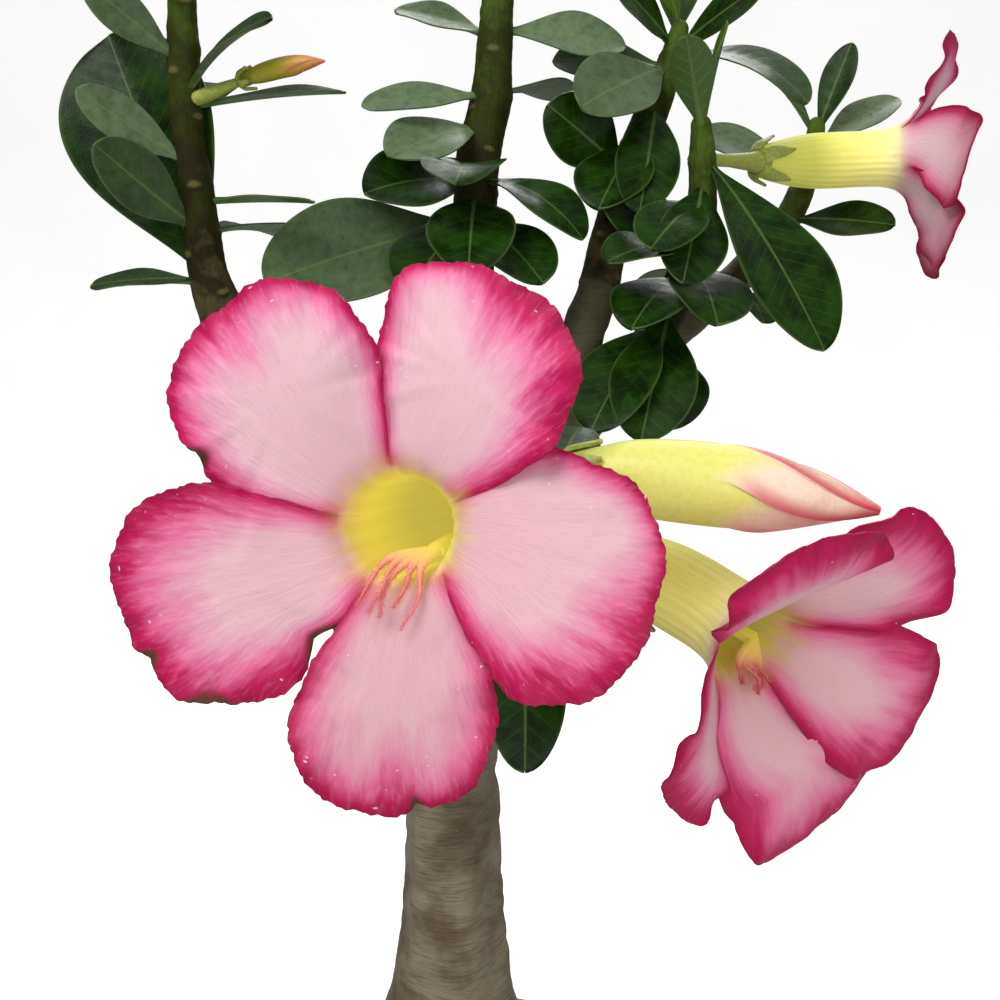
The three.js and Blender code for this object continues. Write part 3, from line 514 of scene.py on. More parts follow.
STEMS = {
    "left": {
        "points": [(0, 0, 222), (-12, -1, 254), (-32, -3, 300), (-46, -4, 333), (-53, -5, 353),
                   (-58, -6, 368), (-59, -8, 386), (-61, -8, 405), (-61, -8, 425), (-60, -8, 448),
                   (-58, -8, 466)],
        "radii": [9, 8.4, 7.6, 6.8, 5.8, 4.8, 4.2, 3.8, 3.5, 3.1, 2.2],
        "bare": 0.4,
        "leaves": [
            leaf_at(0.15, (-84, -14, 365), 13, 16, (0, -0.35, 1)),
            leaf_at(0.12, (-83, 6, 426), 38, 14, (-0.1, -1, 0.1)),
            leaf_at(0.26, (-77, -26, 396), 15, -12, (-0.4, -0.8, 0.6), 0.3),
            leaf_at(0.4, (-81, -24, 408), 11, -10, (-0.2, -1, 0.5), 0.8),
            leaf_at(0.33, (-31, -10, 385), 8, 8),
            leaf_at(0.52, (-23, -10, 410), 12, 10, (0, -0.3, 1)),
            leaf_at(0.6, (-79, -22, 432), 10, -10, (-0.5, -0.7, 0.5), 0.6),
            leaf_at(0.54, (-37, -24, 423), 13, 34, (0.1, -0.6, 0.8)),
            leaf_at(0.48, (-62, 34, 420), 17, 20, (0, -0.4, 1)),
            leaf_at(0.26, (-44, 30, 378), 16, 30, (0, -0.1, 1)),
        ],
        "whorl": {"count": 5, "start": 0.74, "end": 0.98, "turn": 140,
                  "seed": 11, "long": 40, "lift": (34, 72)},
    },
    "middle": {
        "points": [(0, 2, 226), (1, 8, 262), (3, 12, 300), (5, 15, 340), (6, 18, 373), (7, 20, 388),
                   (8, 22, 401), (11, 24, 414), (12, 25, 427), (13, 26, 440), (14, 26, 456), (14, 26, 472)],
        "radii": [9, 8.4, 7.8, 6.9, 6.1, 5.8, 5.6, 5.4, 5, 4.4, 3.7, 2.4],
        "bare": 0.3,
        "leaves": [
            leaf_at(0.17, (-44, -6, 366), 30, 16, (0.1, -0.85, 0.5), 0.45),
            leaf_at(0.27, (34, 2, 377), 18, 56, (0.2, -0.5, 0.85)),
            leaf_at(0.19, (-8, -10, 364), 22, 24, (-0.2, -0.8, 0.5)),
            leaf_at(0.23, (6, -16, 368), 22, 34, (0, -0.7, 0.7)),
            leaf_at(0.18, (24, -6, 366), 19, 24, (0.2, -0.8, 0.5)),
            leaf_at(0.26, (-20, 2, 388), 21, 40, (-0.2, -0.8, 0.5)),
            leaf_at(0.29, (3, -12, 389), 21, 44, (0, -0.4, 1)),
            leaf_at(0.41, (-14, 2, 397), 18, 20, (-0.1, -0.8, 0.6), 0.7),
            leaf_at(0.49, (-21, 8, 410), 10, 20, (0, -0.8, 0.6), 0.8),
            leaf_at(0.33, (-14, 56, 392), 22, 30),
            leaf_at(0.5, (30, 56, 420), 22, 20, UP, 0.4),
            leaf_at(0.66, (47, 30, 429), 16, 14, (0, -0.8, 0.6), 0.8),
            leaf_at(0.64, (-14, 26, 437), 15, 14, (0, -0.6, 0.9), 0.6),
        ],
        "whorl": {"count": 5, "start": 0.74, "end": 0.98, "turn": 172,
                  "seed": 23, "long": 42, "lift": (30, 70)},
    },
    "right": {
        "points": [(0, 1, 224), (8, 5, 258), (20, 11, 300), (30, 15, 332), (35, 18, 351), (40, 22, 365),
                   (43, 25, 378), (47, 28, 392), (52, 30, 405), (56, 32, 416), (60, 34, 426), (63, 36, 437)],
        "radii": [9.5, 8.8, 8.2, 7, 6.1, 5.6, 5.3, 5, 4.7, 4.3, 3.7, 2.4],
        "bare": 0.47,
        "leaves": [
            leaf_at(0.36, (26, 19, 412), 19, 14, (-0.4, -0.8, 0.4)),
            leaf_at(0.8, (34, 10, 410), 21, 20, (-0.1, -1, 0.35), 0.5),
            leaf_at(0.8, (28, 34, 426), 16, 16, (0, -0.8, 0.6), 0.3),
            leaf_at(0.88, (43, 24, 444), 15, 8, (0.4, -0.7, 0.5)),
            leaf_at(0.96, (53, 30, 455), 12, 8, (0.5, -0.8, 0.2)),
            leaf_at(0.86, (80, 12, 440), 13, 10, (-0.5, -0.8, 0.5)),
            leaf_at(0.82, (91, 10, 411), 17, 66, (0.2, -0.6, 0.8), 0.2),
            leaf_at(0.5, (39, 10, 385), 21, 22, (-0.3, -0.8, 0.5)),
            leaf_at(0.36, (49, 10, 377), 20, 24, (0.2, -0.8, 0.5)),
            leaf_at(0.66, (49, 7, 384), 17, 16, (0, -0.95, 0.3)),
            leaf_at(0.3, (44, 66, 402), 22, 26),
            leaf_at(0.6, (66, 70, 430), 21, 20, UP, 0.3),
            leaf_at(0.9, (66, 58, 456), 12),
        ],
    },
    "rightFront": {
        "points": [(24, 12, 312), (36, 14, 330), (48, 15, 344), (57, 15, 357), (63, 15, 371), (66, 15, 385),
                   (66, 15, 398), (65, 14, 409)],
        "radii": [6.2, 5.8, 5.2, 4.8, 4.5, 4.2, 3.7, 2.4],
        "bare": 0.34,
        "leaves": [
            leaf_at(0.8, (92, -12, 350), 25, 20, (0.35, -0.9, 0.3)),
            leaf_at(0.36, (66, -12, 356), 22, 30, (0.2, -0.6, 0.8)),
            leaf_at(0.08, (56, -4, 330), 22, 24, (0.2, -0.8, 0.6)),
            leaf_at(0.18, (48, -14, 328), 22, 24, (0, -0.7, 0.7)),
            leaf_at(0.14, (36, -11, 330), 22, 30, (-0.3, -0.7, 0.6)),
            leaf_at(0.3, (46, -8, 355), 20, 40, (-0.2, -0.6, 0.8)),
            leaf_at(0.4, (40, -8, 371), 17, 36, (-0.2, -0.6, 0.8)),
            leaf_at(0.62, (50, -9, 374), 18, 20, (-0.3, -0.9, 0.4)),
            leaf_at(0.7, (58, -8, 366), 18, 14, (0.1, -1, 0.3)),
            leaf_at(0.9, (58, -4, 424), 11, 10, (0, 0.5, 0.8)),
            leaf_at(0.96, (70, 8, 430), 9, 6, (-0.9, 0, 0.3)),
        ],
    },
    "rightBack": {
        "points": [(28, 14, 322), (48, 26, 341), (70, 42, 358), (90, 57, 374), (103, 65, 390), (108, 67, 404),
                   (110, 68, 417)],
        "radii": [5.8, 5.4, 5, 4.6, 4.2, 3.6, 2.2],
        "bare": 0.36,
        "leaves": [
            leaf_at(0.86, (119, 68, 438), 10, 4, (-0.5, -0.8, 0.2)),
            leaf_at(0.8, (137, 78, 424), 14, 10, (-0.1, -0.6, 0.85), 0.8),
            leaf_at(0.42, (126, 42, 383), 15, 12, (0, -0.8, 0.6)),
            leaf_at(0.6, (77, 86, 416), 15, 20, (0, -0.7, 0.7), 0.9),
            leaf_at(0.9, (96, 86, 436), 11, 10, (0.5, -0.5, 0.7)),
            leaf_at(0.3, (112, 92, 368), 21, 30),
            leaf_at(0.14, (58, 80, 364), 22, 34),
            leaf_at(0.1, (86, 26, 356), 15, 30, (0.4, -0.6, 0.7)),
        ],
    },
    "front": {
        "points": [(0, -2, 224), (3, -12, 243), (7, -30, 264), (12, -52, 286), (17, -68, 306), (20, -79, 322),
                   (21, -83, 329)],
        "radii": [9, 7.8, 6.6, 5.8, 5, 4.4, 3.2],
        "bare": 0.5,
        "leaves": [
            leaf_at(0.42, (18, -93, 277), 15, 22, (0.1, -0.7, 0.7)),
            leaf_at(0.2, (-26, -64, 300), 17, 30),
            leaf_at(0.55, (-12, -60, 330), 15, 20, (0.3, 0.2, 1)),
            leaf_at(0.6, (31, -40, 334), 14, 20, (0, -0.6, 0.8)),
            leaf_at(0.3, (46, -54, 292), 15, 30),
        ],
    },
    "back": {
        "points": [(0, 4, 226), (-2, 20, 254), (-4, 38, 280), (-6, 52, 304), (-7, 62, 326)],
        "radii": [8.6, 7, 5.8, 5, 2.6],
        "bare": 0.42,
        "leaves": [],
        "whorl": {"count": 8, "start": 0.1, "end": 0.97, "turn": 340,
                  "seed": 51, "long": 36, "lift": (4, 66)},
    },
    "leftBack": {
        "points": [(-2, 3, 226), (-14, 14, 250), (-28, 26, 272), (-40, 36, 294), (-46, 42, 316)],
        "radii": [8.2, 6.6, 5.6, 4.8, 2.6],
        "bare": 0.42,
        "leaves": [],
        "whorl": {"count": 8, "start": 0.1, "end": 0.97, "turn": 180,
                  "seed": 67, "long": 32, "lift": (8, 66)},
    },
}
NODES = {
    "left": "left_stem", "middle": "middle_stem", "right": "right_stem",
    "rightFront": "right_front_stem", "rightBack": "right_back_stem", "front": "front_stem",
    "back": "back_stem", "leftBack": "left_back_stem",
}
GOLDEN_ANGLE = 137.5


# %% Whorls
def draws(seed):
    """A repeatable row of numbers from 0 to 1."""
    state = seed
    while True:
        state = (state * 1664525 + 1013904223) % 4294967296
        yield state / 4294967296


WHORL_WOBBLE = 10
WHORL_SHORTENS = 0.45
WHORL_LENGTHS = (0.9, 0.2)
WHORL_WIDTHS = (0.36, 0.06)
WHORL_DROOP = (14, 20)


def whorl_of(stem):
    """Leaves in a spiral round the top of a stem, the upper ones shorter and more upright."""
    whorl = stem["whorl"]
    draw = draws(whorl["seed"])
    leaves = []
    for i in range(whorl["count"]):
        share = i / (whorl["count"] - 1)
        at = whorl["start"] + (whorl["end"] - whorl["start"]) * share
        turn = math.radians(whorl["turn"] + GOLDEN_ANGLE * i)
        low, high = whorl["lift"]
        rise = math.radians(low + (high - low) * share + WHORL_WOBBLE * (next(draw) - 0.5))
        shorter = 1 - WHORL_SHORTENS * share
        length = whorl["long"] * shorter * (WHORL_LENGTHS[0] + WHORL_LENGTHS[1] * next(draw))
        level = np.array([math.cos(turn), math.sin(turn), 0])
        out = level * math.cos(rise) + np.array(UP) * math.sin(rise)
        face = np.array(UP) * math.cos(rise) - level * math.sin(rise)
        base = spline(stem["points"], stem["bare"] + (1 - stem["bare"]) * at)
        wide = length * (WHORL_WIDTHS[0] + WHORL_WIDTHS[1] * next(draw))
        droop = WHORL_DROOP[0] + WHORL_DROOP[1] * next(draw)
        leaves.append(leaf_at(at, base + out * length, wide, droop, face))
    return leaves


for stem in STEMS.values():
    stem["leaves"] = stem["leaves"] + (whorl_of(stem) if "whorl" in stem else [])
print("stems:", len(STEMS), "leaves:", sum(len(stem["leaves"]) for stem in STEMS.values()))

# %% [markdown]
# ## Leaves
# An adenium leaf is a thick waxy spoon: narrow at the base, widest past the middle and round at the tip,
# with a pale midrib that is a groove above and a keel below. It bends back under its weight. The sheet
# is laid on an arc, folded a little along the midrib and waved at its edges. Side veins are
# pressed into the mesh, because a leaf seen from a hand's breadth away needs more than paint.

# %% A leaf
LEAF_FOLD = 0.22
FOLD_SOFT = 1.5
PETIOLE_HALF_WIDTH = 1.2
LEAST_SHARES = (0, 0.4, 0.55, 1)
LEAST_HALF_WIDTHS = (PETIOLE_HALF_WIDTH, PETIOLE_HALF_WIDTH, 0.4, 0.12)
WIDEST_LATE = 1.6
TIP_BLUNT = 0.52
VEIN_SPACING = 3.6
VEIN_SLANT = 0.8
VEIN_SUNK = 0.1
RIB_SUNK = 0.35
LEAF_WAVES = 1.7
LEAF_WAVE = 0.03
BLADE_THICK = 0.75
EDGE_THINNER = 0.35
KEEL_THICK = 1.1
ROW_STEP = 0.85
BROAD_LEAF = 22
CHANCE_APART = 40.0
TIP_CROWDS = 1.15
RIB_WIDE = 0.7


def leaf_half_width(share, wide):
    blade = np.sin(math.pi * share**WIDEST_LATE) ** (1 - TIP_BLUNT * share)
    return np.maximum(wide / 2 * blade, np.interp(share, LEAST_SHARES, LEAST_HALF_WIDTHS))


def add_leaf(heap, base, leaf, chance, age, material):
    """One leaf from a point in its stem to its tip, with marks for the paint."""
    long = np.linalg.norm(leaf["tip"] - base)
    out = (leaf["tip"] - base) / long
    face = np.asarray(leaf["face"], float)
    up = unit(face - out * face.dot(out))
    across = np.cross(out, up)
    bend = math.radians(leaf["droop"]) or 1e-3
    radius = long / (2 * math.sin(bend / 2))
    rows, columns = max(18, round(long / ROW_STEP)), 21 if leaf["wide"] > BROAD_LEAF else 13
    share = np.sin(np.linspace(0, math.pi / 2, rows))[:, None] ** TIP_CROWDS
    side = np.sin(np.linspace(-1, 1, columns) * math.pi / 2)[None, :]
    x = leaf_half_width(share, leaf["wide"]) * side
    y = share * long + 0 * side
    veins = np.cos(2 * math.pi * ((y - VEIN_SLANT * np.abs(x)) / VEIN_SPACING + chance))
    inside = np.exp(-((np.abs(side) / 0.8) ** 6)) * (np.abs(x) > 0.5) * np.sin(math.pi * share)
    lift = LEAF_FOLD * (np.hypot(x, FOLD_SOFT) - FOLD_SOFT) - VEIN_SUNK * veins * inside
    wave = np.sin(2 * math.pi * (LEAF_WAVES * share + chance + 0.2 * np.sign(side)))
    lift += LEAF_WAVE * leaf["wide"] * side**2 * wave * share
    lift -= RIB_SUNK * np.exp(-((x / RIB_WIDE) ** 2)) * (1 - share)
    angle = bend * (share - 0.5)
    normal = up * np.cos(angle)[..., None] + out * np.sin(angle)[..., None]
    points = (base + out * (long / 2 + radius * np.sin(angle))[..., None]
              + up * (radius * (np.cos(angle) - math.cos(bend / 2)))[..., None]
              + across * x[..., None] + normal * lift[..., None])
    thick = KEEL_THICK * np.exp(-(x**2)) * (1 - share) + BLADE_THICK - EDGE_THINNER * np.abs(side) ** 4
    quads = grid_faces(rows, columns)[:, ::-1]
    points, faces, under = thicken(points.reshape(-1, 3), quads, thick.ravel())
    blade = np.stack([x.ravel(), y.ravel(), np.full(x.size, chance * CHANCE_APART)], axis=1)
    heap.add(points, faces, material, blade=np.tile(blade, (2, 1)), under=under,
             edge=np.tile((np.abs(side) + 0 * share).ravel(), 2), age=age, pale=leaf["pale"],
             tip=np.tile((share + 0 * side).ravel(), 2))


print("half widths of a leaf 30 mm wide:", np.round(leaf_half_width(np.linspace(0, 1, 6), 30), 1))

# %% The finish of a leaf
LEAF_DARK = paint(9, 26, 2)
LEAF_MID = paint(28, 58, 8)
LEAF_YOUNG = paint(104, 138, 40)
LEAF_BLOOM_AND_SHEEN = paint(132, 152, 118)
LEAF_UNDER = paint(78, 104, 56)
MIDRIB = paint(112, 138, 72)

leaf_wax, desk, shader = finish("waxy_leaf", specular_ior_level=0.1)
blade = desk.mark("blade", "Vector")
x, y, z = desk.parts(blade)
away = desk.maths("ABSOLUTE", x)
age, edge, tip = desk.mark("age"), desk.mark("edge"), desk.mark("tip")
patch = desk.use(blotches, {"Place": blade, "Scale": 0.16, "Low": 0.3, "High": 0.7})
green = desk.mix(patch, LEAF_DARK, LEAF_MID)
green = desk.mix(desk.rise(age, 0.78, 1.15), green, LEAF_YOUNG)
# Pale grey-green patches on some leaves: partly a dusty bloom, partly a painted sheen for the sky mirrored in
# their wax.
dust_and_sheen = desk.use(blotches, {"Place": blade, "Scale": 0.4, "Low": 0.25, "High": 0.75})
bloom = desk.times(desk.mark("pale"), desk.scaled(dust_and_sheen, 0.3, 0.45))
green = desk.mix(bloom, green, LEAF_BLOOM_AND_SHEEN)
slant = desk.minus(y, desk.times(away, VEIN_SLANT))
turns = desk.plus(desk.maths("DIVIDE", slant, VEIN_SPACING), desk.maths("DIVIDE", z, CHANCE_APART))
turned = desk.maths("FRACT", desk.plus(turns, 0.5))
to_vein = desk.maths("ABSOLUTE", desk.minus(turned, 0.5))
vein = desk.times(desk.fall(to_vein, 0.02, 0.09), desk.fall(edge, 0.6, 0.9))
green = desk.tint(green, vein, 0.07, MIDRIB)
rib_narrows = desk.minus(1.0, desk.times(tip, 0.75))
rib = desk.fall(desk.maths("DIVIDE", away, rib_narrows), 0.35, 0.95)
green = desk.tint(green, rib, 0.34, MIDRIB)
green = desk.tint(green, desk.rise(edge, 0.93, 1.0), 0.2, MIDRIB)
back = desk.tint(LEAF_UNDER, desk.maths("MAXIMUM", rib, vein), 0.5, MIDRIB)
desk.feed(shader.inputs["Base Color"], desk.mix(desk.mark("under"), green, back))
net = desk.use(pores, {"Place": blade, "Scale": 1.6})
desk.feed(shader.inputs["Roughness"], desk.scaled(dust_and_sheen, 0.16, 0.24))
desk.emboss(shader, net, 0.15, 0.0003)
tell(leaf_wax)

# %% [markdown]
# ## Green stems
# The top of a stem stays green. Further down it turns brown and keeps a scar for each leaf that it has
# dropped: a small raised eye in the same golden spiral. The scars are raised on the rod's own radii.
# Flower stalks leave the stem with a collar of five pointed sepals, which belong to the same mesh.

# %% Scars on a rod
SCAR_SPACING = 5.2
SCAR_HIGH = 0.55
SCAR_LONG = 1.0
SCAR_WIDE = 1.9
SCAR_HOLLOW = 0.8
PIT_NARROWER = 2.2
STEM_RINGS = ((0.03, 2.3, 0), (0.1, 0.43, 3))
STEM_SWELL = 0.25
SWELL_LONG = 9


def scars_on(lengths, radii, sides, first):
    """How far scars raise a rod at each ring and side, and a mask of them."""
    angle = round_angles(sides)[None, :]
    raised = np.zeros((len(lengths), sides))
    mask = np.zeros_like(raised)
    for n in range(int((lengths[-1] - lengths[0]) / SCAR_SPACING)):
        up = (lengths[:, None] - lengths[0] - (n + 0.5) * SCAR_SPACING) / SCAR_LONG
        turn = angle - math.radians(GOLDEN_ANGLE * n + first)
        wide = (np.mod(turn + math.pi, math.tau) - math.pi) * radii[:, None] / SCAR_WIDE
        spot = np.exp(-(up**2) - wide**2)
        pit = np.exp(-((PIT_NARROWER * up) ** 2) - (PIT_NARROWER * wide) ** 2)
        raised += SCAR_HIGH * spot - SCAR_HOLLOW * SCAR_HIGH * pit
        mask = np.maximum(mask, spot)
    return raised, mask


def stem_rod(heap, stem, start, step, sides, first, material):
    """The rod of a stem from a share of its curve to its rounded tip, with scars and fine rings."""
    curve = lambda t: spline(stem["points"], t)
    length = step_lengths([curve(t) for t in np.linspace(start, 1, 60)]).sum()
    shares = np.linspace(start, 1, round(length / step))
    frames = frames_along(curve, shares)
    lengths = np.concatenate([[0], np.cumsum(step_lengths(frames[0]))])
    radii = at_shares(stem["radii"], shares)
    dome = np.clip((lengths[-1] - lengths) / radii[-1], 0, 1)
    radii = radii * np.sqrt(np.maximum(1 - (1 - dome) ** 2, 0.002))
    raised, mask = scars_on(lengths, radii, sides, first)
    rings = sum(size * np.sin(lengths * often + phase) for size, often, phase in STEM_RINGS)[:, None]
    around = np.linspace(0, math.tau, sides)[None, :]
    swell = STEM_SWELL * np.sin(2 * around + lengths[:, None] / SWELL_LONG)
    fade = np.clip(radii / 3, 0, 1)[:, None]
    marks = {"height": lengths / lengths[-1], "scar": mask}
    rod(heap, frames, radii[:, None] + fade * (raised + rings + swell), sides, material, marks)


print("leaf scars:", SCAR_SPACING, "mm apart,", SCAR_HIGH, "mm high")

# %% The finish of a stem
STEM_BARK = paint(74, 68, 44)
STEM_BROWN = paint(36, 32, 16)
STEM_OLIVE = paint(48, 56, 14)
STEM_GREEN = paint(72, 94, 26)
STEM_GRAIN = paint(40, 34, 22)
SCAR_TAN = paint(106, 98, 58)

stem_skin, desk, shader = finish("stem_skin", specular_ior_level=0.06)
where = desk.position()
height, scar = desk.mark("height"), desk.mark("scar")
patch = desk.use(blotches, {"Place": where, "Scale": 160.0, "Low": 0.3, "High": 0.7})
level = desk.plus(height, desk.sway(patch, 0.35))
skin = desk.ramp(level, [(0.0, STEM_BARK), (0.22, STEM_BROWN), (0.6, STEM_OLIVE), (0.97, STEM_GREEN)])
grain = desk.use(fibres, {"Place": where, "Across": 1400.0, "Along": 260.0})
skin = desk.tint(skin, desk.rise(grain, 0.4, 0.7), 0.35, STEM_GRAIN)
skin = desk.tint(skin, desk.rise(scar, 0.3, 0.85), 0.7, SCAR_TAN)
desk.feed(shader.inputs["Base Color"], skin)
desk.feed(shader.inputs["Roughness"], desk.scaled(grain, 0.3, 0.4))
desk.emboss(shader, grain, 0.5, 0.0004)
tell(stem_skin)

# %% The finish of stalks and sepals
STALK_DEEP = paint(138, 154, 58)
STALK_PALE = paint(164, 172, 78)
SEPAL_TIP = paint(168, 112, 70)

stalk_skin, desk, shader = finish("stalk_skin", roughness=0.5)
where = desk.position()
down = desk.use(fibres, {"Place": where, "Across": 1500.0, "Along": 1500.0})
stalk_green = desk.mix(desk.rise(down, 0.35, 0.65), STALK_DEEP, STALK_PALE)
stalk_green = desk.tint(stalk_green, desk.rise(desk.mark("tip"), 0.75, 1.0), 0.45, SEPAL_TIP)
desk.feed(shader.inputs["Base Color"], stalk_green)
desk.emboss(shader, down, 0.15, 0.0002)
tell(stalk_skin)

# %% [markdown]
# ## Flowers, first as measurements
# A flower is fixed by the centre of its mouth, the way it faces and the seat where its tube meets the
# stalk. Its five petals, which a botanist calls lobes, are given by the way that they point, how far
# they reach and how wide each side is. Real petals are torn and nibbled here and there, so some carry
# a list of bites: where on the margin, how wide and how deep.

# %% Flowers and buds
LOBES = 5
MOUTH_RADIUS = 8.6
TUBE_BELLY = (1, 0.88, 0.85, 0.86, 0.85, 0.78, 0.62, 0.44)


def lobe(turn, reach, cw, ccw, cw_peak=0.6, ccw_peak=0.64, rise=0, fade=(0, 0), bites=(), dull=0.0):
    """Its direction, reach, half width and widest place clockwise and anticlockwise, rise, how far the
    pink margin is pushed out of each side, its bites, and how dull its colour is, partly as painted shade."""
    return {"turn": turn, "reach": reach, "half": (cw, ccw), "peak": (cw_peak, ccw_peak), "rise": rise,
            "fade": fade, "bites": bites, "dull": dull}


FLOWERS = {
    "main": {
        "mouth": (-1, -131, 330), "facing": (-0.06, -0.985, 0.15), "seat": (17, -93, 329),
        "stalk": (21, -83, 328), "root": 62, "flare": 9, "reflex": 1, "twist": 0.1, "ruffle": 0.7,
        "crinkle": 1.0,
        "lobes": [
            lobe(64, 37, 14.4, 13.6, 0.5, 0.72, fade=(-0.45, 3)),
            lobe(128, 37.4, 14, 15.2, 0.52, 0.52, fade=(2.5, 1.6), bites=[(86, 5, 1.2)]),
            lobe(199, 38, 14.2, 16, 0.54, 0.54, bites=[(25, 5, 1.1), (62, 9, 0.7), (127, 13, 3)], dull=0.4),
            lobe(271, 38, 13, 13.7, 0.56, 0.55, fade=(1.5, 1.5), bites=[(14, 4, 1)], dull=1.0),
            lobe(343, 37, 15.5, 16.6, 0.47, 0.46, fade=(0, 3), dull=0.6),
        ],
        "tails": [(-4.8, -10.5, 4.6), (-3.2, -11.5, 5.4), (-1.4, -12, 5.8), (0.4, -10.6, 5.4),
                  (1.4, -13.6, 6)],
        "grid": (78, 56, 26), "seed": 5,
    },
    "side": {
        "mouth": (57, -101, 304), "facing": (0.444, -0.838, -0.316), "seat": (29, -81, 316),
        "stalk": (20, -81, 325), "root": 50, "flare": 13, "reflex": 2, "twist": 0.12, "ruffle": 1.1,
        "crinkle": 0.35,
        "lobes": [
            lobe(45, 34, 11.5, 13.5),
            lobe(113, 32, 14, 13, 0.6, 0.6, 5),
            lobe(219, 29, 9, 13, 0.66, 0.74, 2),
            lobe(301, 40.5, 18.5, 12, 0.64, 0.66),
            lobe(335, 38.5, 13, 14.5, 0.58, 0.62),
        ],
        "tails": [(-3, -6, 3), (-1, -7, 4), (1, -7, 4), (3, -6, 3), (0, -8, 4)],
        "grid": (60, 44, 22), "seed": 6,
    },
    "back": {
        "mouth": (130, 50, 403), "facing": (0.96, -0.26, 0.03), "seat": (86, 37, 400),
        "stalk": (66, 15, 398), "root": 20, "flare": 13, "reflex": 2, "twist": 0.24, "ruffle": 0.9,
        "crinkle": 0.25,
        "lobes": [
            lobe(16, 36, 13, 13),
            lobe(92, 33, 13.5, 13.5, 0.6, 0.6, 1),
            lobe(193, 33, 13, 11, 0.6, 0.6, 2),
            lobe(239, 35, 12.5, 12.5, 0.6, 0.6, -1),
            lobe(290, 36, 11, 11, 0.6, 0.6, -2),
        ],
        "tails": [(-3, -6, 3), (-1, -7, 4), (1, -7, 4), (3, -6, 3), (0, -8, 4)],
        "grid": (56, 40, 22), "seed": 7,
    },
}
BUDS = {
    "front": {"seat": (24.6, -102, 333.4), "tip": (75, -107, 328), "stalk": (21, -83, 328), "radius": 6.9,
              "twist": -3, "bow": 2},
    "left": {"seat": (-46, -14, 412), "tip": (-26, -20, 415), "stalk": (-61, -8, 408), "radius": 2.3,
             "twist": 3, "bow": 1.5},
}
BLOOMS = {"front": [FLOWERS["main"], FLOWERS["side"], BUDS["front"]], "rightFront": [FLOWERS["back"]],
          "left": [BUDS["left"]]}
print("flowers:", ", ".join(FLOWERS), "buds:", ", ".join(BUDS))


# %% The lines of flowers and buds
def axes_of(flower):
    """The flower's mouth, the way out of it, up and right."""
    out = unit(flower["facing"])
    up = unit(np.array(UP) - out * out[2])
    return np.array(flower["mouth"], float), out, up, np.cross(up, out)


def in_flower(axes, x, y, z):
    mouth, out, up, right = axes
    return mouth + np.multiply.outer(x, right) + np.multiply.outer(y, up) + np.multiply.outer(z, out)


def tube_line(flower):
    """The tube's centreline, from the mouth at 0 to the seat at 1."""
    mouth, out, _, _ = axes_of(flower)
    seat = np.array(flower["seat"], float)
    return bent_line(mouth, mouth - out * 0.5 * np.linalg.norm(mouth - seat), seat)


def bud_line(bud):
    seat, tip = np.array(bud["seat"], float), np.array(bud["tip"], float)
    return bent_line(seat, (seat + tip) / 2 + np.array([0, 0, bud["bow"]]), tip)


print("the main flower faces", np.round(axes_of(FLOWERS["main"])[1], 2))

# %% Stalks and sepals
STALK_GAP = 0.3
STALK_RADII = (1.8, 1.7, 2.6, 4)
STALK_SIDES = 20
BUD_OF_FULL_CALYX = 6
CALYX_SIDE = (0.2, 0.3, 1)
SEPAL_UP = (-1.6, 0.6, 7.4)
SEPAL_OUT = (3.2, 5.4, 7.2)
SEPAL_HALF = (1.7, 1.9, 1.4, 0.12)
SEPAL_HOLLOW = 0.5
SEPAL_THICK = 0.7


def add_calyx(heap, bloom, material):
    """A stalk that widens into the seat of a flower or bud, with five pointed sepals round it."""
    seat = np.array(bloom["seat"], float)
    is_flower = "lobes" in bloom
    line = tube_line(bloom) if is_flower else bud_line(bloom)
    out = unit(line(0.99) - line(1.0)) if is_flower else unit(line(0.01) - line(0.0))
    size = 1.0 if is_flower else min(0.8, bloom["radius"] / BUD_OF_FULL_CALYX)
    under = seat - out * STALK_GAP
    below = under - out * 3 * size
    start = np.array(bloom["stalk"], float)
    stalk = [start, (start + below) / 2, below, under]
    shares = np.linspace(0, 1, 26)
    widths = np.array(STALK_RADII) * (1, 1, size, size)
    radii = np.interp(shares, [0, 0.33, 0.66, 1], widths)
    rod(heap, frames_along(lambda t: spline(stalk, t), shares), radii, STALK_SIDES, material)
    side = unit(CALYX_SIDE - out * out.dot(CALYX_SIDE))
    rows, columns = 14, 9
    along = np.linspace(0, 1, rows)[:, None]
    turn = np.linspace(-1, 1, columns)[None, :]
    up = np.interp(along, [0, 0.25, 1], SEPAL_UP) * size
    away = np.interp(along, [0, 0.25, 1], SEPAL_OUT) * size
    half = np.interp(along, [0, 0.25, 0.6, 1], SEPAL_HALF) * size
    for angle in round_angles(LOBES):
        outward = side * math.cos(angle) + np.cross(out, side) * math.sin(angle)
        across = np.cross(outward, out)
        hollow = -SEPAL_HOLLOW * size * turn**2
        points = (under + up[..., None] * out + (away + hollow)[..., None] * outward
                  + (half * turn)[..., None] * across)
        sheet, faces, under_side = thicken(points.reshape(-1, 3), grid_faces(rows, columns), SEPAL_THICK)
        heap.add(sheet, faces, material, under=under_side, tip=np.tile((along + 0 * turn).ravel(), 2))


print("sepals:", LOBES, "round each seat, up to", SEPAL_UP[-1], "mm high")

# %% Leafy stems
ROD_STEP = 0.7
ROD_SIDES = 30
SOCKET = 2.6


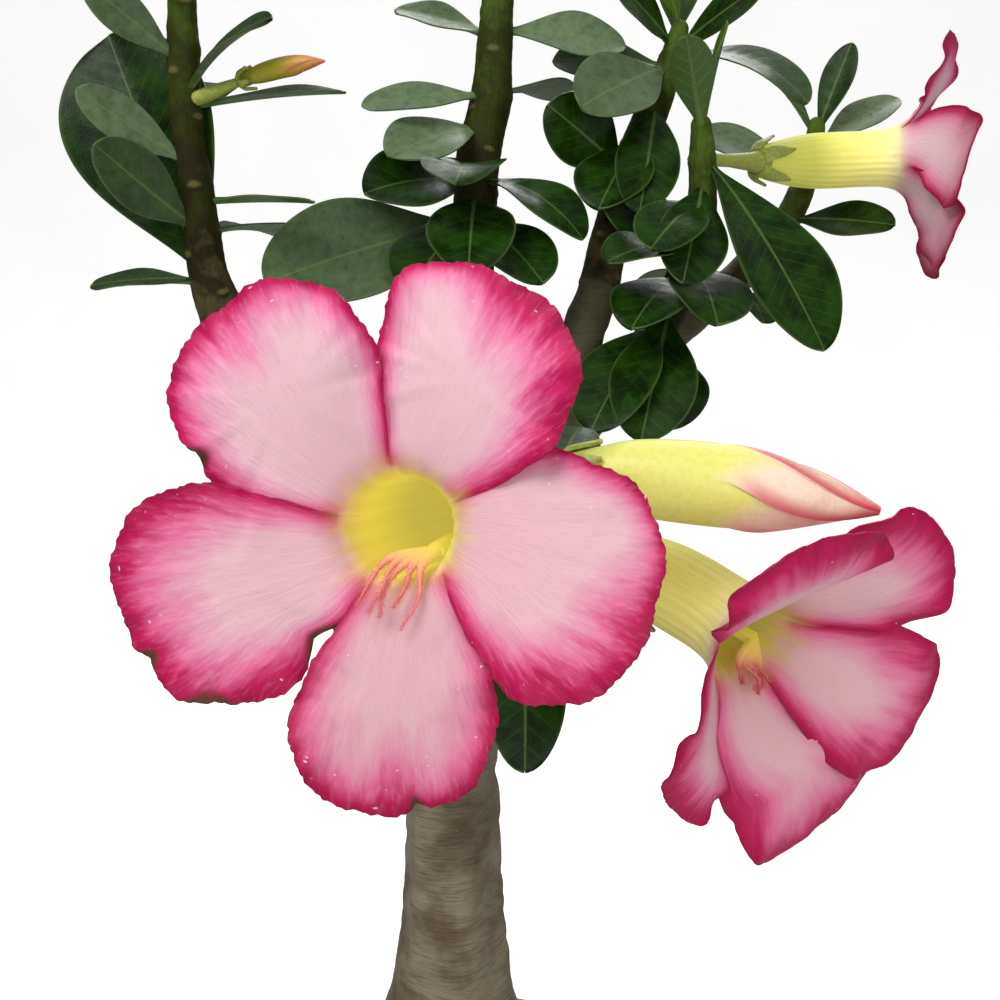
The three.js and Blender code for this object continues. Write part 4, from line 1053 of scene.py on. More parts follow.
def leafy_stem(key, stem):
    """A green stem with its leaves and the stalks of its blooms, as one piece."""
    heap = Heap("blade", "under", "edge", "tip", "age", "pale", "height", "scar")
    points = np.array(stem["points"], float)
    length = step_lengths(points).sum()
    stem_rod(heap, stem, stem["bare"] - SOCKET / length, ROD_STEP, ROD_SIDES, 40, 0)
    chance = draws(len(key) + 17)
    for leaf in stem["leaves"]:
        base = spline(points, stem["bare"] + (1 - stem["bare"]) * leaf["at"])
        add_leaf(heap, base, leaf, next(chance), leaf["at"] ** 1.5, 1)
    for bloom in BLOOMS.get(key, []):
        add_calyx(heap, bloom, 2)
    rows = heap.marks["blade"]
    heap.marks["blade"] = [row if np.ndim(row) == 2 else np.zeros((len(row), 3)) for row in rows]
    name = NODES[key].replace("_stem", "_leafy_stem")
    piece = piece_of(name, heap, [stem_skin, leaf_wax, stalk_skin])
    place(piece, NODES[key], "foliage")


for key, stem in STEMS.items():
    leafy_stem(key, stem)

# %% [markdown]
# ## The caudex
# The caudex stores water. It swells just above the soil, narrows upwards and parts into bare branches.
# Joining rods would leave hard creases where they meet, and live wood has none. So the rough parts
# are laid through each other, turned into one skin by a voxel remesh, and relaxed until every fork is
# a soft hollow. Wrinkles and knobs are then raised on that skin with two layers of noise.

# %% A skin for the caudex
CAUDEX = [(58, 4), (66, 16), (80, 24), (96, 28), (106, 31), (116, 34), (128, 33), (142, 27.5), (156, 21.5),
          (172, 17), (192, 14), (214, 12.6), (232, 12.4), (244, 9)]
BULGES = ((0.07, 3, 40), (0.04, 5, -30))
TRUNK_ROWS, TRUNK_SIDES = 120, 64
BRANCH_ROWS, BRANCH_SIDES = 40, 24
VOXEL = 1.15
RELAX_ROUNDS = 5


def rough_caudex():
    """The trunk and the bare part of each stem, as rods that run through each other."""
    heap = Heap()
    heights = np.linspace(CAUDEX[0][0], CAUDEX[-1][0], TRUNK_ROWS)
    radii = np.interp(heights, *zip(*CAUDEX))
    for _ in range(3):
        radii[1:-1] = (radii[:-2] + 2 * radii[1:-1] + radii[2:]) / 4
    angle = round_angles(TRUNK_SIDES)[None, :]
    bulge = 1 + sum(size * np.cos(n * angle + heights[:, None] / long) for size, n, long in BULGES)
    line = lambda t: np.array([0, 0, heights[0] + (heights[-1] - heights[0]) * t])
    frames = frames_along(line, np.linspace(0, 1, TRUNK_ROWS), (1, 0, 0))
    rod(heap, frames, radii[:, None] * bulge, TRUNK_SIDES)
    for stem in STEMS.values():
        shares = np.linspace(0, stem["bare"], BRANCH_ROWS)
        branch = frames_along(lambda t: spline(stem["points"], t), shares)
        rod(heap, branch, at_shares(stem["radii"], shares), BRANCH_SIDES)
    return heap


def remeshed(piece, voxel):
    """The piece's parts as one skin of even faces."""
    grid = piece.modifiers.new("skin", "REMESH")
    grid.mode = "VOXEL"
    grid.voxel_size = voxel * MM
    relax = piece.modifiers.new("relax", "SMOOTH")
    relax.factor = 0.5
    relax.iterations = RELAX_ROUNDS
    view = bpy.context.evaluated_depsgraph_get()
    mesh = bpy.data.meshes.new_from_object(piece.evaluated_get(view))
    piece.modifiers.clear()
    piece.data = mesh
    return piece


print("the caudex is at most", 2 * max(radius for _, radius in CAUDEX), "mm thick")

# %% The finish of bark
BARK_GREY = paint(128, 120, 98)
BARK_BROWN = paint(86, 70, 50)
BARK_GREEN = paint(66, 66, 36)
BARK_DARK = paint(44, 36, 26)
BARK_CORK = paint(150, 138, 110)

bark_skin, desk, shader = finish("caudex_bark")
where = desk.position()
tall = desk.parts(where)[2]
patch = desk.use(blotches, {"Place": where, "Scale": 55.0, "Low": 0.35, "High": 0.65})
bark = desk.mix(patch, BARK_GREY, BARK_BROWN)
bark = desk.tint(bark, desk.rise(tall, 0.2, 0.335), 0.8, BARK_GREEN)
rings = desk.use(fibres, {"Place": where, "Across": 160.0, "Along": 1500.0})
bark = desk.tint(bark, desk.fall(rings, 0.3, 0.55), 0.4, BARK_DARK)
corky = desk.use(flecks, {"Place": where, "Scale": 420.0, "Share": 0.16})
bark = desk.tint(bark, corky, 0.3, BARK_CORK)
bark = desk.tint(bark, desk.fall(tall, 0.106, 0.122), 0.7, BARK_DARK)
desk.feed(shader.inputs["Base Color"], bark)
desk.feed(shader.inputs["Roughness"], desk.scaled(rings, 0.3, 0.55))
raised = desk.plus(desk.times(rings, 0.8), desk.times(corky, 0.3))
desk.emboss(shader, raised, 0.7, 0.0008)
tell(bark_skin)

# %% The caudex
WRINKLE = 0.5
WRINKLE_SCALE = (70, 70, 260)
KNOB_SCALE = 190
KNOB = 0.6

caudex = remeshed(piece_of("swollen_caudex", rough_caudex(), []), VOXEL)
skin = caudex.data
skin.materials.clear()
skin.materials.append(bark_skin)
spots, facing = np.zeros((2, len(skin.vertices), 3))
skin.vertices.foreach_get("co", spots.ravel())
skin.vertices.foreach_get("normal", facing.ravel())
wrinkles = [noise.noise(Vector(spot * WRINKLE_SCALE)) + KNOB * noise.noise(Vector(spot) * KNOB_SCALE)
            for spot in spots]
skin.vertices.foreach_set("co", (spots + facing * np.array(wrinkles)[:, None] * WRINKLE * MM).ravel())
skin.shade_smooth()
skin.update()
place(caudex, "caudex", "bark")

# %% [markdown]
# ## The pot
# The photograph stops above the pot, so it is the plain clay pot that such a plant is sold in: a foot,
# a flared wall, a thick rim and turning marks. It is a profile spun round an axis, with a radius that
# wanders by a few tenths of a millimetre, because clay is never quite round. White salts bloom on the
# outside of an old pot, and the foot stays darker where it drinks.

# %% The finish of clay
CLAY = paint(176, 96, 62)
CLAY_PALE = paint(202, 132, 98)
CLAY_DARK = paint(128, 64, 42)
SALTS = paint(222, 200, 182)

fired_clay, desk, shader = finish("fired_clay")
where = desk.position()
tall = desk.parts(where)[2]
patch = desk.use(blotches, {"Place": where, "Scale": 22.0, "Low": 0.3, "High": 0.7})
clay = desk.mix(patch, CLAY, CLAY_PALE)
turning = desk.use(fibres, {"Place": where, "Across": 12.0, "Along": 900.0})
clay = desk.tint(clay, desk.rise(turning, 0.4, 0.7), 0.25, CLAY_DARK)
crust = desk.use(blotches, {"Place": where, "Scale": 45.0, "Low": 0.52, "High": 0.72})
crust = desk.times(crust, desk.rise(tall, 0.03, 0.1))
clay = desk.tint(clay, crust, 0.55, SALTS)
clay = desk.tint(clay, desk.fall(tall, 0.0, 0.03), 0.45, CLAY_DARK)
sand = desk.use(pores, {"Place": where, "Scale": 1300.0})
specks = desk.use(flecks, {"Place": where, "Scale": 700.0, "Share": 0.08})
clay = desk.tint(clay, specks, 0.5, CLAY_DARK)
desk.feed(shader.inputs["Base Color"], clay)
desk.feed(shader.inputs["Roughness"], desk.scaled(patch, 0.12, 0.78))
raised = desk.plus(desk.times(sand, 0.5), desk.times(turning, 0.5))
desk.emboss(shader, raised, 0.5, 0.0006)
tell(fired_clay)

# %% The pot
POT = {"height": 120, "foot": 50, "neck": 69, "rim": 76, "rim_height": 23, "wall": 6.5, "floor": 9}
CORNER_RADII = (2.5, 2.5, 1.5, 2.5, 2, 2, 2, 6)
BASE_MIDDLE = 20
LIP_DEEP = 3
POT_SIDES = 160
ROUND_STEPS = 5
WALL_STEP = 2.2


def rounded(corners, radii):
    """The corners of an outline, each turned into a short arc of points."""
    points = [corners[0]]
    for before, corner, after, radius in zip(corners, corners[1:], corners[2:], radii):
        before, corner, after = (np.array(p, float) for p in (before, corner, after))
        enter = corner + unit(before - corner) * min(radius, np.linalg.norm(before - corner) / 2)
        leave = corner + unit(after - corner) * min(radius, np.linalg.norm(after - corner) / 2)
        for t in np.linspace(0, 1, ROUND_STEPS):
            points.append(tuple(enter * (1 - t) ** 2 + corner * 2 * t * (1 - t) + leave * t**2))
    return np.array(points + [corners[-1]], float)


def pot_inside(height):
    return POT["foot"] + (POT["neck"] + 3 - POT["foot"]) * height / POT["height"] - POT["wall"]


def spun(profile, sides, wander):
    """A profile of radius and height, spun round the axis, with its two ends closed on it."""
    angle = round_angles(sides)
    radius = profile[:, 0][:, None] + wander(profile[:, 1][:, None], angle[None, :])
    points = np.stack([radius * np.cos(angle), radius * np.sin(angle),
                       profile[:, 1][:, None] + 0 * radius], axis=-1).reshape(-1, 3)
    return points, capped_rings(len(profile), sides)


def stepped(outline, step):
    """The outline with more points on its long runs, none much further apart than step."""
    fine = [outline[0]]
    for a, b in zip(outline, outline[1:]):
        steps = max(1, round(np.linalg.norm(b - a) / step))
        fine += [a + (b - a) * (i + 1) / steps for i in range(steps)]
    return np.array(fine)


def marks_of_turning(z, a):
    """How far the potter's hands left the wall proud, by height and angle."""
    wobble = 0.12 * np.sin(z * 1.9) + 0.25 * np.sin(2 * a + z / 50) + 0.1 * np.sin(3 * a)
    return wobble * ((z > 1) & (z < POT["height"] + 1))


top, floor, rim = POT["height"], POT["floor"], POT["rim"]
shoulder, lip = top - POT["rim_height"], top - LIP_DEEP
corners = [(BASE_MIDDLE, 0), (POT["foot"], 0), (POT["neck"], shoulder), (rim - 1, shoulder + 0.6),
           (rim + 0.5, top - 2), (rim - 1.5, top), (pot_inside(top) + 1, top), (pot_inside(lip), lip),
           (pot_inside(floor), floor), (BASE_MIDDLE, floor)]
outline = stepped(rounded(corners, CORNER_RADII), WALL_STEP)
pot_points, pot_faces = spun(outline, POT_SIDES, marks_of_turning)
pot = new_piece("clay_pot", pot_points, pot_faces, [fired_clay], sharp=60)
place(pot, "pot", "terracotta")

# %% [markdown]
# ## Soil and grit
# Desert roses grow in a gritty mix of dark compost and pumice. The surface is a disc of rings lifted by
# noise, and the grit is several hundred small stones, each a ball pushed out of round, half sunk in the
# surface. Real stones give the edge of the pot a believable scale that a bump map alone would not.

# %% The finish of soil and stones
SOIL_BLACK = paint(30, 22, 17)
SOIL_DARK = paint(46, 34, 26)
SOIL_BROWN = paint(78, 60, 46)
STONE_STOPS = ((0.0, paint(92, 78, 64)), (0.35, paint(134, 118, 100)), (0.7, paint(182, 172, 156)),
               (1.0, paint(214, 206, 194)))
STONE_HOLE = paint(70, 58, 46)

compost, desk, shader = finish("dark_compost", roughness=0.95)
where = desk.position()
patch = desk.use(blotches, {"Place": where, "Scale": 130.0, "Low": 0.3, "High": 0.7})
crumbs = desk.use(pores, {"Place": where, "Scale": 700.0})
earth = desk.mix(patch, SOIL_DARK, SOIL_BROWN)
earth = desk.mix(desk.rise(crumbs, 0.1, 0.35), SOIL_BLACK, earth)
desk.feed(shader.inputs["Base Color"], earth)
desk.emboss(shader, crumbs, 0.9, 0.0015)
tell(compost)

pumice, desk, shader = finish("pumice", roughness=0.9)
holes = desk.use(pores, {"Place": desk.position(), "Scale": 1800.0})
stone = desk.ramp(desk.mark("tone"), STONE_STOPS)
stone = desk.mix(desk.minus(0.5, desk.rise(holes, 0.05, 0.3)), stone, STONE_HOLE)
desk.feed(shader.inputs["Base Color"], stone)
desk.emboss(shader, holes, 0.8, 0.0006)
tell(pumice)

# %% Soil
SOIL_TOP = 106
SOIL_BOTTOM = 30
LUMPS = ((1.3, 0.07), (0.65, 0.25), (0.455, 0.7))
SOIL_SIDES = 128
SOIL_RINGS = 44
TRUNK_RADIUS = 30


def ground(x, y):
    """The height of the soil's surface."""
    spot = Vector((x, y, 0))
    return SOIL_TOP + sum(size * noise.noise(spot * often) for size, often in LUMPS)


edge = pot_inside(SOIL_TOP) - 0.2
surface = np.linspace(edge - 0.8, TRUNK_RADIUS - 4, SOIL_RINGS)
radii = np.concatenate([[pot_inside(SOIL_BOTTOM) - 0.4, edge], surface])
angle = round_angles(SOIL_SIDES)
rings = np.stack([radii[:, None] * np.cos(angle), radii[:, None] * np.sin(angle),
                  np.full((len(radii), SOIL_SIDES), float(SOIL_BOTTOM))], axis=-1)
for ring in rings[1:]:
    ring[:, 2] = [ground(x, y) for x, y, _ in ring]
rings[1, :, 2] = SOIL_TOP - 0.6
soil_faces = capped_rings(len(radii), SOIL_SIDES)
soil = new_piece("potting_mix", rings.reshape(-1, 3), soil_faces, [compost], sharp=70)
place(soil, "soil", "soil")

# %% Grit
STONES = 620
STONE_SIZES = (0.7, 2.6)
FEW_ARE_LARGE = 2.5
STONE_RINGS, STONE_SIDES = 6, 8
POLE_GAP = 0.25
DENT = 0.08
DENTS_OFTEN = 2.5
FLATTEST = 0.6
STONE_LIFT = 0.15


def ball():
    """The points and faces of a small round ball of radius 1."""
    lift = np.linspace(-math.pi / 2 + POLE_GAP, math.pi / 2 - POLE_GAP, STONE_RINGS)
    turn = round_angles(STONE_SIDES)
    points = np.stack([np.cos(lift)[:, None] * np.cos(turn), np.cos(lift)[:, None] * np.sin(turn),
                       np.sin(lift)[:, None] + 0 * turn], axis=-1).reshape(-1, 3)
    return points, capped_rings(STONE_RINGS, STONE_SIDES)


random = np.random.default_rng(42)
ball_points, ball_faces = ball()
grit = Heap("tone")
for _ in range(STONES):
    size = STONE_SIZES[0] + (STONE_SIZES[1] - STONE_SIZES[0]) * random.random() ** FEW_ARE_LARGE
    distance = math.sqrt(random.uniform((TRUNK_RADIUS + 4.5) ** 2, (edge - size - 0.6) ** 2))
    bearing = random.uniform(0, math.tau)
    x, y = distance * math.cos(bearing), distance * math.sin(bearing)
    turned, _ = np.linalg.qr(random.normal(size=(3, 3)))
    dents = 1 + DENT * np.sin(ball_points @ random.normal(size=(3, 3)) * DENTS_OFTEN).sum(axis=1)
    stone_points = (ball_points * dents[:, None] * random.uniform(FLATTEST, 1.0, 3)) @ turned * size
    if np.linalg.det(turned) < 0:
        stone_points = -stone_points
    grit.add(stone_points + (x, y, ground(x, y) + size * STONE_LIFT), ball_faces, tone=random.random())
grit_piece = piece_of("grit", grit, [pumice], sharp=40)
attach(grit_piece, BODY)
print("grit:", STONES, "stones")

# %% [markdown]
# ## Petals
# Each flower is one sheet: a tube that opens into five petals, each lying over the next like the blades
# of a pinwheel. A petal is a grid that runs up the tube, over the lip and out to the tip, so that the
# tube and the petals share one surface. The crinkled margin is where a petal looks alive. Waves that
# run square to the margin are strongest at the edge and die away towards the middle, and small teeth
# move the outline itself. Each point keeps its distance from the margin for the paint.

# %% The outline of a petal
def lobe_half_width(share, half, peak):
    root = MOUTH_RADIUS * math.sin(math.pi / LOBES)
    opening = root + (half - root) * np.sin(math.pi / 2 * np.clip(share / peak, 0, 1)) ** 0.9
    closing = half * (1 - np.clip((share - peak) / (1 - peak), 0, 1) ** 2.4) ** (1 / 2.4)
    return np.maximum(np.where(share < peak, opening, closing), 0.2)


def smooth_step(value, low, high):
    t = np.clip((value - low) / (high - low), 0, 1)
    return t * t * (3 - 2 * t)


def distance_to(outline, points):
    """The distance from each point to the nearest point of the outline."""
    return np.min(np.linalg.norm(points[:, None] - outline[None], axis=2), axis=1)


def tube_radius(share):
    return MOUTH_RADIUS * at_shares(TUBE_BELLY, share)


print("half widths of a petal:", np.round(lobe_half_width(np.linspace(0, 1, 6), 14, 0.5), 1))

# %% One petal
SINUS_EXTRA = 0.04
EDGE_BAND = 1.3
WAVE_BAND = 4.5
TEETH = ((9, 0.26), (31, 0.1), (57, 0.08), (83, 0.06))
WAVES = ((6, 0.36), (14, 0.24), (25, 0.15))
CREASES = ((31, 0.1), (53, 0.06))
ROOT_FADES = (0.06, 0.34)
BURN_BAND = 2.4
RUFFLES = 15
FLUTES = 15
FLUTE = 0.012


def petal_grid(flower, k, random):
    """Points and marks of one petal with its strip of the tube: rows run from the seat to the tip."""
    one = flower["lobes"][k]
    rows, columns, tube_rows = flower["grid"]
    axes, line = axes_of(flower), tube_line(flower)
    middle = math.radians(flower["root"] + 360 / LOBES * k)
    share = np.sin(np.linspace(0, math.pi / 2, rows))[:, None]
    side = np.sin(np.linspace(-1, 1, columns) * math.pi / 2)[None, :]
    out = np.clip(share * 3, 0, 1)
    arc = side * math.pi / LOBES * (1 + SINUS_EXTRA * out)
    half = np.where(side < 0, lobe_half_width(share, one["half"][0], one["peak"][0]),
                    lobe_half_width(share, one["half"][1], one["peak"][1]))
    # The flat petal: x runs from the flower's middle to the tip, y across.
    y = half * np.sin(arc) / math.sin(math.pi / LOBES)
    x = (np.cos(arc) * (1 - out) + out) * MOUTH_RADIUS + share * (one["reach"] - MOUTH_RADIUS)
    flat = np.stack([x, y], axis=-1)
    outline = np.concatenate([flat[:, 0], flat[-1], flat[:, -1]])
    margin = distance_to(outline, flat.reshape(-1, 2)).reshape(x.shape)
    centre = (MOUTH_RADIUS + one["reach"]) / 2
    phi = np.arctan2(y, x - centre)
    fan = np.arctan2(y, x)
    # Teeth and bites move the outline in the plane of the petal.
    root_fade = smooth_step(share, *ROOT_FADES)
    phases = random.uniform(0, 2 * math.pi, 14)
    teeth = sum(size * np.sin(n * phi + p) for (n, size), p in zip(TEETH, phases))
    bitten, burn = np.zeros_like(x), np.zeros_like(x)
    for at, wide, deep in one["bites"]:
        turn = np.mod(phi - math.radians(at) + math.pi, math.tau) - math.pi
        notch = np.exp(-((turn / math.radians(wide)) ** 2))
        bitten += deep * notch * np.exp(-margin / (deep + 1))
        round_notch = np.exp(-((turn / math.radians(wide * 1.5)) ** 2))
        burn = np.maximum(burn, round_notch * np.exp(-margin / BURN_BAND))
    pull = flower["crinkle"] * root_fade * teeth * np.exp(-margin / EDGE_BAND) - bitten
    # Waves and creases lift it out of that plane, and a twist lays each petal over the next.
    waves = sum(size * np.sin(n * phi + p) for (n, size), p in zip(WAVES, phases[4:]))
    creases = sum(size * np.sin(n * fan + p) for (n, size), p in zip(CREASES, phases[8:]))
    z = ((flower["flare"] + one["rise"]) * (1 - (1 - share) ** 2) - flower["reflex"] * share**3
         - flower["twist"] * y * out
         + flower["ruffle"] * side**2 * out * (1 - share**10) * np.sin(RUFFLES * share + 3 * side + 2 * k)
         + flower["crinkle"] * root_fade * (waves * np.exp(-margin / WAVE_BAND) + creases * share))
    x, y = x + pull * np.cos(phi), y + pull * np.sin(phi)
    # The petal leaves its strip of the tube and leans to its own direction.
    lean = (math.radians(one["turn"]) - middle + math.pi) % math.tau - math.pi
    turn = middle + lean * np.clip(share * 2, 0, 1)
    petal = in_flower(axes, x * np.cos(turn) - y * np.sin(turn), x * np.sin(turn) + y * np.cos(turn), z)
    # The strip of the tube, from the seat up to the mouth.
    depth = np.linspace(1, 0, tube_rows, endpoint=False)
    at, along, right, across = (part[::-1] for part in frames_along(line, depth[::-1], axes[3]))
    around = middle + side[0] * math.pi / LOBES
    radius = tube_radius(depth)[:, None] * (1 + FLUTE * np.cos(FLUTES * side))
    tube = at[:, None] + radius[..., None] * (right[:, None] * np.cos(around)[None, :, None]
                                              - across[:, None] * np.sin(around)[None, :, None])
    length = step_lengths(at).sum()
    sinus = MOUTH_RADIUS * (math.pi / LOBES - np.abs(side) * math.pi / LOBES)
    fade = np.where(side < 0, *one["fade"]) * np.abs(side)
    marks = {
        "margin": np.concatenate([np.hypot(depth[:, None] * length, sinus), margin]),
        "reach": np.concatenate([-depth[:, None] * length + 0 * side, np.hypot(x, y) - MOUTH_RADIUS]),
        "angle": np.concatenate([around + 0 * depth[:, None], middle + fan]),
    }
    for key, value in {"burn": burn, "fade": fade, "dull": one["dull"]}.items():
        marks[key] = np.concatenate([np.zeros((tube_rows, columns)), value + 0 * margin])
    return np.concatenate([tube, petal]), marks


# %% One flower
LIP_ROUNDS = 14
LIP_BAND = 3.2
TUBE_THICK = 0.8
MARGIN_THICK = 0.3
THINS_OVER = 5
FAN_RADIUS = 14
THROAT_RIBS = 15


def rounded_lip(points, reach):
    """Relaxes the sheet along its rows near the mouth, so that the tube flows into the petal."""
    pull = np.exp(-((reach / LIP_BAND) ** 2))[1:-1, :, None]
    for _ in range(LIP_ROUNDS):
        points[1:-1] += 0.5 * pull * ((points[:-2] + points[2:]) / 2 - points[1:-1])
    return points


def add_corolla(heap, flower):
    """Five petal grids, welded to each other along the tube and thickened into one sheet."""
    random = np.random.default_rng(flower["seed"])
    grids = [petal_grid(flower, k, random) for k in range(LOBES)]
    shared = flower["grid"][2] + 1
    sheets = [rounded_lip(points, marks["reach"]) for points, marks in grids]
    for k in range(LOBES):
        here, after = sheets[k], sheets[(k + 1) % LOBES]
        here[:shared, -1] = after[:shared, 0] = (here[:shared, -1] + after[:shared, 0]) / 2
    rows, columns = sheets[0].shape[:2]
    size = rows * columns
    names = [k * size + np.arange(size).reshape(rows, columns) for k in range(LOBES)]
    for k in range(LOBES):
        names[k][:shared, -1] = names[(k + 1) % LOBES][:shared, 0]
    corners = grid_faces(rows, columns)
    quads = np.concatenate([names[k].ravel()[corners] for k in range(LOBES)])
    kept, quads = np.unique(quads, return_inverse=True)
    quads = quads.reshape(-1, 4)
    points = np.concatenate([sheet.reshape(-1, 3) for sheet in sheets])[kept]
    marks = {key: np.concatenate([grid[1][key].ravel() for grid in grids])[kept] for key in grids[0][1]}
    thick = TUBE_THICK - (TUBE_THICK - MARGIN_THICK) * np.exp(-marks["margin"] / THINS_OVER)
    points, faces, under = thicken(points, quads, thick)
    marks = {key: np.tile(value, 2) for key, value in marks.items()}
    angle = marks.pop("angle")
    fan = np.stack([FAN_RADIUS * np.cos(angle), FAN_RADIUS * np.sin(angle), marks["reach"]], axis=1)
    ribs = 0.5 + 0.5 * np.cos(THROAT_RIBS * (angle - math.radians(flower["root"])))
    heap.add(points, faces, 0, under=under, fan=fan, ribs=ribs, **marks)


print("a petal thins from", TUBE_THICK, "to", MARGIN_THICK, "mm at its margin")

# %% The finish of petals
PINK_STOPS = ((0.0, paint(146, 2, 52)), (0.07, paint(172, 10, 70)), (0.15, paint(194, 28, 92)),
              (0.38, paint(224, 106, 152)), (0.68, paint(228, 158, 182)), (1.0, paint(230, 184, 194)))
RIM = paint(182, 0, 86)
THREAD_PALE = paint(244, 206, 220)
THREAD_DEEP = paint(188, 36, 96)
BURN = paint(74, 50, 30)
DULL_AND_SHADE = paint(226, 218, 217)
SPECK_PALE = paint(250, 232, 238)
BACK_PALE = paint(240, 200, 212)
THROAT_RIB = paint(206, 170, 44)
THROAT_GREEN_HIGHLIGHT = paint(200, 206, 78)
THROAT_STOPS = ((0.0, paint(196, 184, 80)), (0.35, paint(214, 198, 80)), (0.62, paint(224, 202, 78)),
                (0.85, paint(230, 208, 104)), (1.0, paint(236, 214, 158)))
TUBE_STOPS = ((0.0, paint(200, 202, 90)), (0.3, paint(232, 230, 118)), (0.75, paint(246, 240, 146)),
              (0.93, paint(246, 236, 180)), (1.0, paint(238, 196, 200)))
TUBE_VEIN = paint(196, 194, 84)
THROAT_LIGHT = paint(255, 252, 170)
STREAK_SWAY, BROAD_SWAY, THREAD_SWAY, THROAT_SWAY = 6.0, 8.0, 3.6, 9.0
PINK_REACHES_IN = 14.5
PALE_NEAR_MOUTH = 2.4
THROAT_DEPTH = 24.0
TUBE_DEPTH = 34.0
TUBE_GLOW = 0.45
BLACK = (0.0, 0.0, 0.0, 1.0)


def petal_finish(name, band, rim, crisp, glow, shade):
    """A petal's skin: how far the pink reaches in, how deep its rim is, how crisp its threads are, how
    much the throat glows, and a colour that shades the whole."""
    material, desk, shader = finish(name, specular_ior_level=0.2, emission_strength=glow)
    margin, reach, under = (desk.mark(key) for key in ("margin", "reach", "under"))
    fan = desk.mark("fan", "Vector")
    streaks = desk.use(fibres, {"Place": fan, "Across": 1.6, "Along": 0.12})
    broad = desk.use(fibres, {"Place": fan, "Across": 0.35, "Along": 0.08})
    threads = desk.use(fibres, {"Place": fan, "Across": 4.4, "Along": 0.55})
    # The pink: its depth in from the margin, pushed about by streaks and threads.
    shift = desk.plus(desk.sway(streaks, STREAK_SWAY), desk.sway(broad, BROAD_SWAY))
    shift = desk.plus(shift, desk.sway(threads, THREAD_SWAY * crisp))
    shift = desk.times(shift, desk.rise(margin, -1.0, 4.0))
    near_mouth = desk.fall(reach, 2.0, 19.0)
    paler = desk.plus(desk.times(near_mouth, PALE_NEAR_MOUTH), desk.mark("fade"))
    inward = desk.times(margin, desk.plus(paler, 1.0))
    share = desk.maths("DIVIDE", desk.plus(inward, shift), PINK_REACHES_IN * band)
    pink = desk.ramp(share, PINK_STOPS)
    pink = desk.tint(pink, desk.rise(threads, 0.5, 0.74), 0.11 * crisp, THREAD_PALE)
    pink = desk.tint(pink, desk.fall(threads, 0.26, 0.5), 0.08 * crisp, THREAD_DEEP)
    pink = desk.tint(pink, desk.fall(share, 0.0, 0.3 + 0.4 * rim), rim, RIM)
    # Duller lobes: partly their own colour, partly painted shade on the lower petals.
    pink = desk.mix(desk.mark("dull"), pink, DULL_AND_SHADE, "MULTIPLY")
    # The throat: golden and ribbed, with a painted greenish highlight on one side.
    throat_share = desk.plus(desk.maths("DIVIDE", reach, THROAT_DEPTH), 1.0)
    gold = desk.ramp(throat_share, THROAT_STOPS)
    gold = desk.tint(gold, desk.mark("ribs"), 0.2, THROAT_RIB)
    green_highlight = desk.times(desk.rise(desk.parts(fan)[0], 5.0, 14.0), 0.45)
    gold = desk.mix(green_highlight, gold, THROAT_GREEN_HIGHLIGHT)
    in_throat = desk.fall(desk.plus(reach, desk.sway(broad, THROAT_SWAY)), -5.0, 3.5)
    face = desk.mix(in_throat, pink, gold)
    specks = desk.use(flecks, {"Place": fan, "Scale": 1.7, "Share": 0.05})
    specks = desk.times(desk.times(specks, desk.fall(margin, 3.0, 9.0)), desk.rise(reach, 6.0, 12.0))
    face = desk.tint(face, specks, 0.6, SPECK_PALE)
    # The outside of the tube, and the backs of the petals.
    outside = desk.ramp(desk.plus(desk.maths("DIVIDE", reach, TUBE_DEPTH), 0.95), TUBE_STOPS)
    outside = desk.tint(outside, desk.rise(streaks, 0.4, 0.65), 0.18, TUBE_VEIN)
    back = desk.tint(pink, desk.rise(margin, 0.0, 6.0), 0.4, BACK_PALE)
    outside = desk.mix(desk.rise(reach, -1.5, 4.0), outside, back)
    # Both sides together, shaded, and scorched round the bites.
    colour = desk.mix(under, face, outside)
    colour = desk.mix(1.0, colour, shade, "MULTIPLY")
    scorched = desk.plus(desk.mark("burn"), desk.times(threads, 0.3))
    colour = desk.tint(colour, desk.rise(scorched, 0.42, 0.8), 0.9, BURN)
    # Painted light: the throat and the tube glow a little, standing in for light that comes through a thin
    # flower and lighting the throat's shade. Where the inside glows, its base colour is darker.
    inside = desk.minus(1.0, under)
    lit = desk.times(inside, desk.fall(reach, -10.0, 1.0))
    desk.feed(shader.inputs["Base Color"], desk.tint(colour, lit, 0.55, BLACK))
    lamp = desk.mix(lit, BLACK, desk.mix(green_highlight, gold, THROAT_LIGHT))
    through = desk.times(under, desk.fall(reach, -8.0, 1.0))
    lamp = desk.tint(lamp, through, TUBE_GLOW, outside)
    desk.feed(shader.inputs["Emission Color"], lamp)
    desk.feed(shader.inputs["Roughness"], desk.scaled(streaks, 0.2, 0.42))
    raised = desk.plus(desk.times(streaks, 0.7), desk.times(threads, 0.5))
    desk.emboss(shader, raised, 0.3, 0.0005)
    return material


# %% The three corollas
PETAL_LOOKS = {
    "main": {"band": 1.0, "rim": 0.3, "crisp": 0.8, "glow": 0.7, "shade": paint(255, 255, 255)},
    "side": {"band": 1.2, "rim": 0.35, "crisp": 0.15, "glow": 0.18, "shade": paint(252, 248, 244)},
    "back": {"band": 1.4, "rim": 0.2, "crisp": 0.2, "glow": 0.5, "shade": paint(255, 255, 255)},
}

for key, flower in FLOWERS.items():
    heap = Heap("margin", "reach", "fade", "dull", "burn", "under", "ribs", "fan")
    add_corolla(heap, flower)
    skin = petal_finish(f"{key}_petal_skin", **PETAL_LOOKS[key])
    tell(skin)
    petals = piece_of(f"{key}_petals", heap, [skin])
    place(petals, f"{key}_corolla", "petal")

# %% [markdown]
# ## Stamens
# Deep in the throat the five anthers lean together in a cone, which rests on the lower wall of the tube.
# Each has a long feathery tail, and the five fan out over the lower edge of the mouth. The cone is one
# grooved rod, the tails are thin rods, and the down on them is real geometry: a few thousand tiny
# needles, because hair strands don't survive an export.

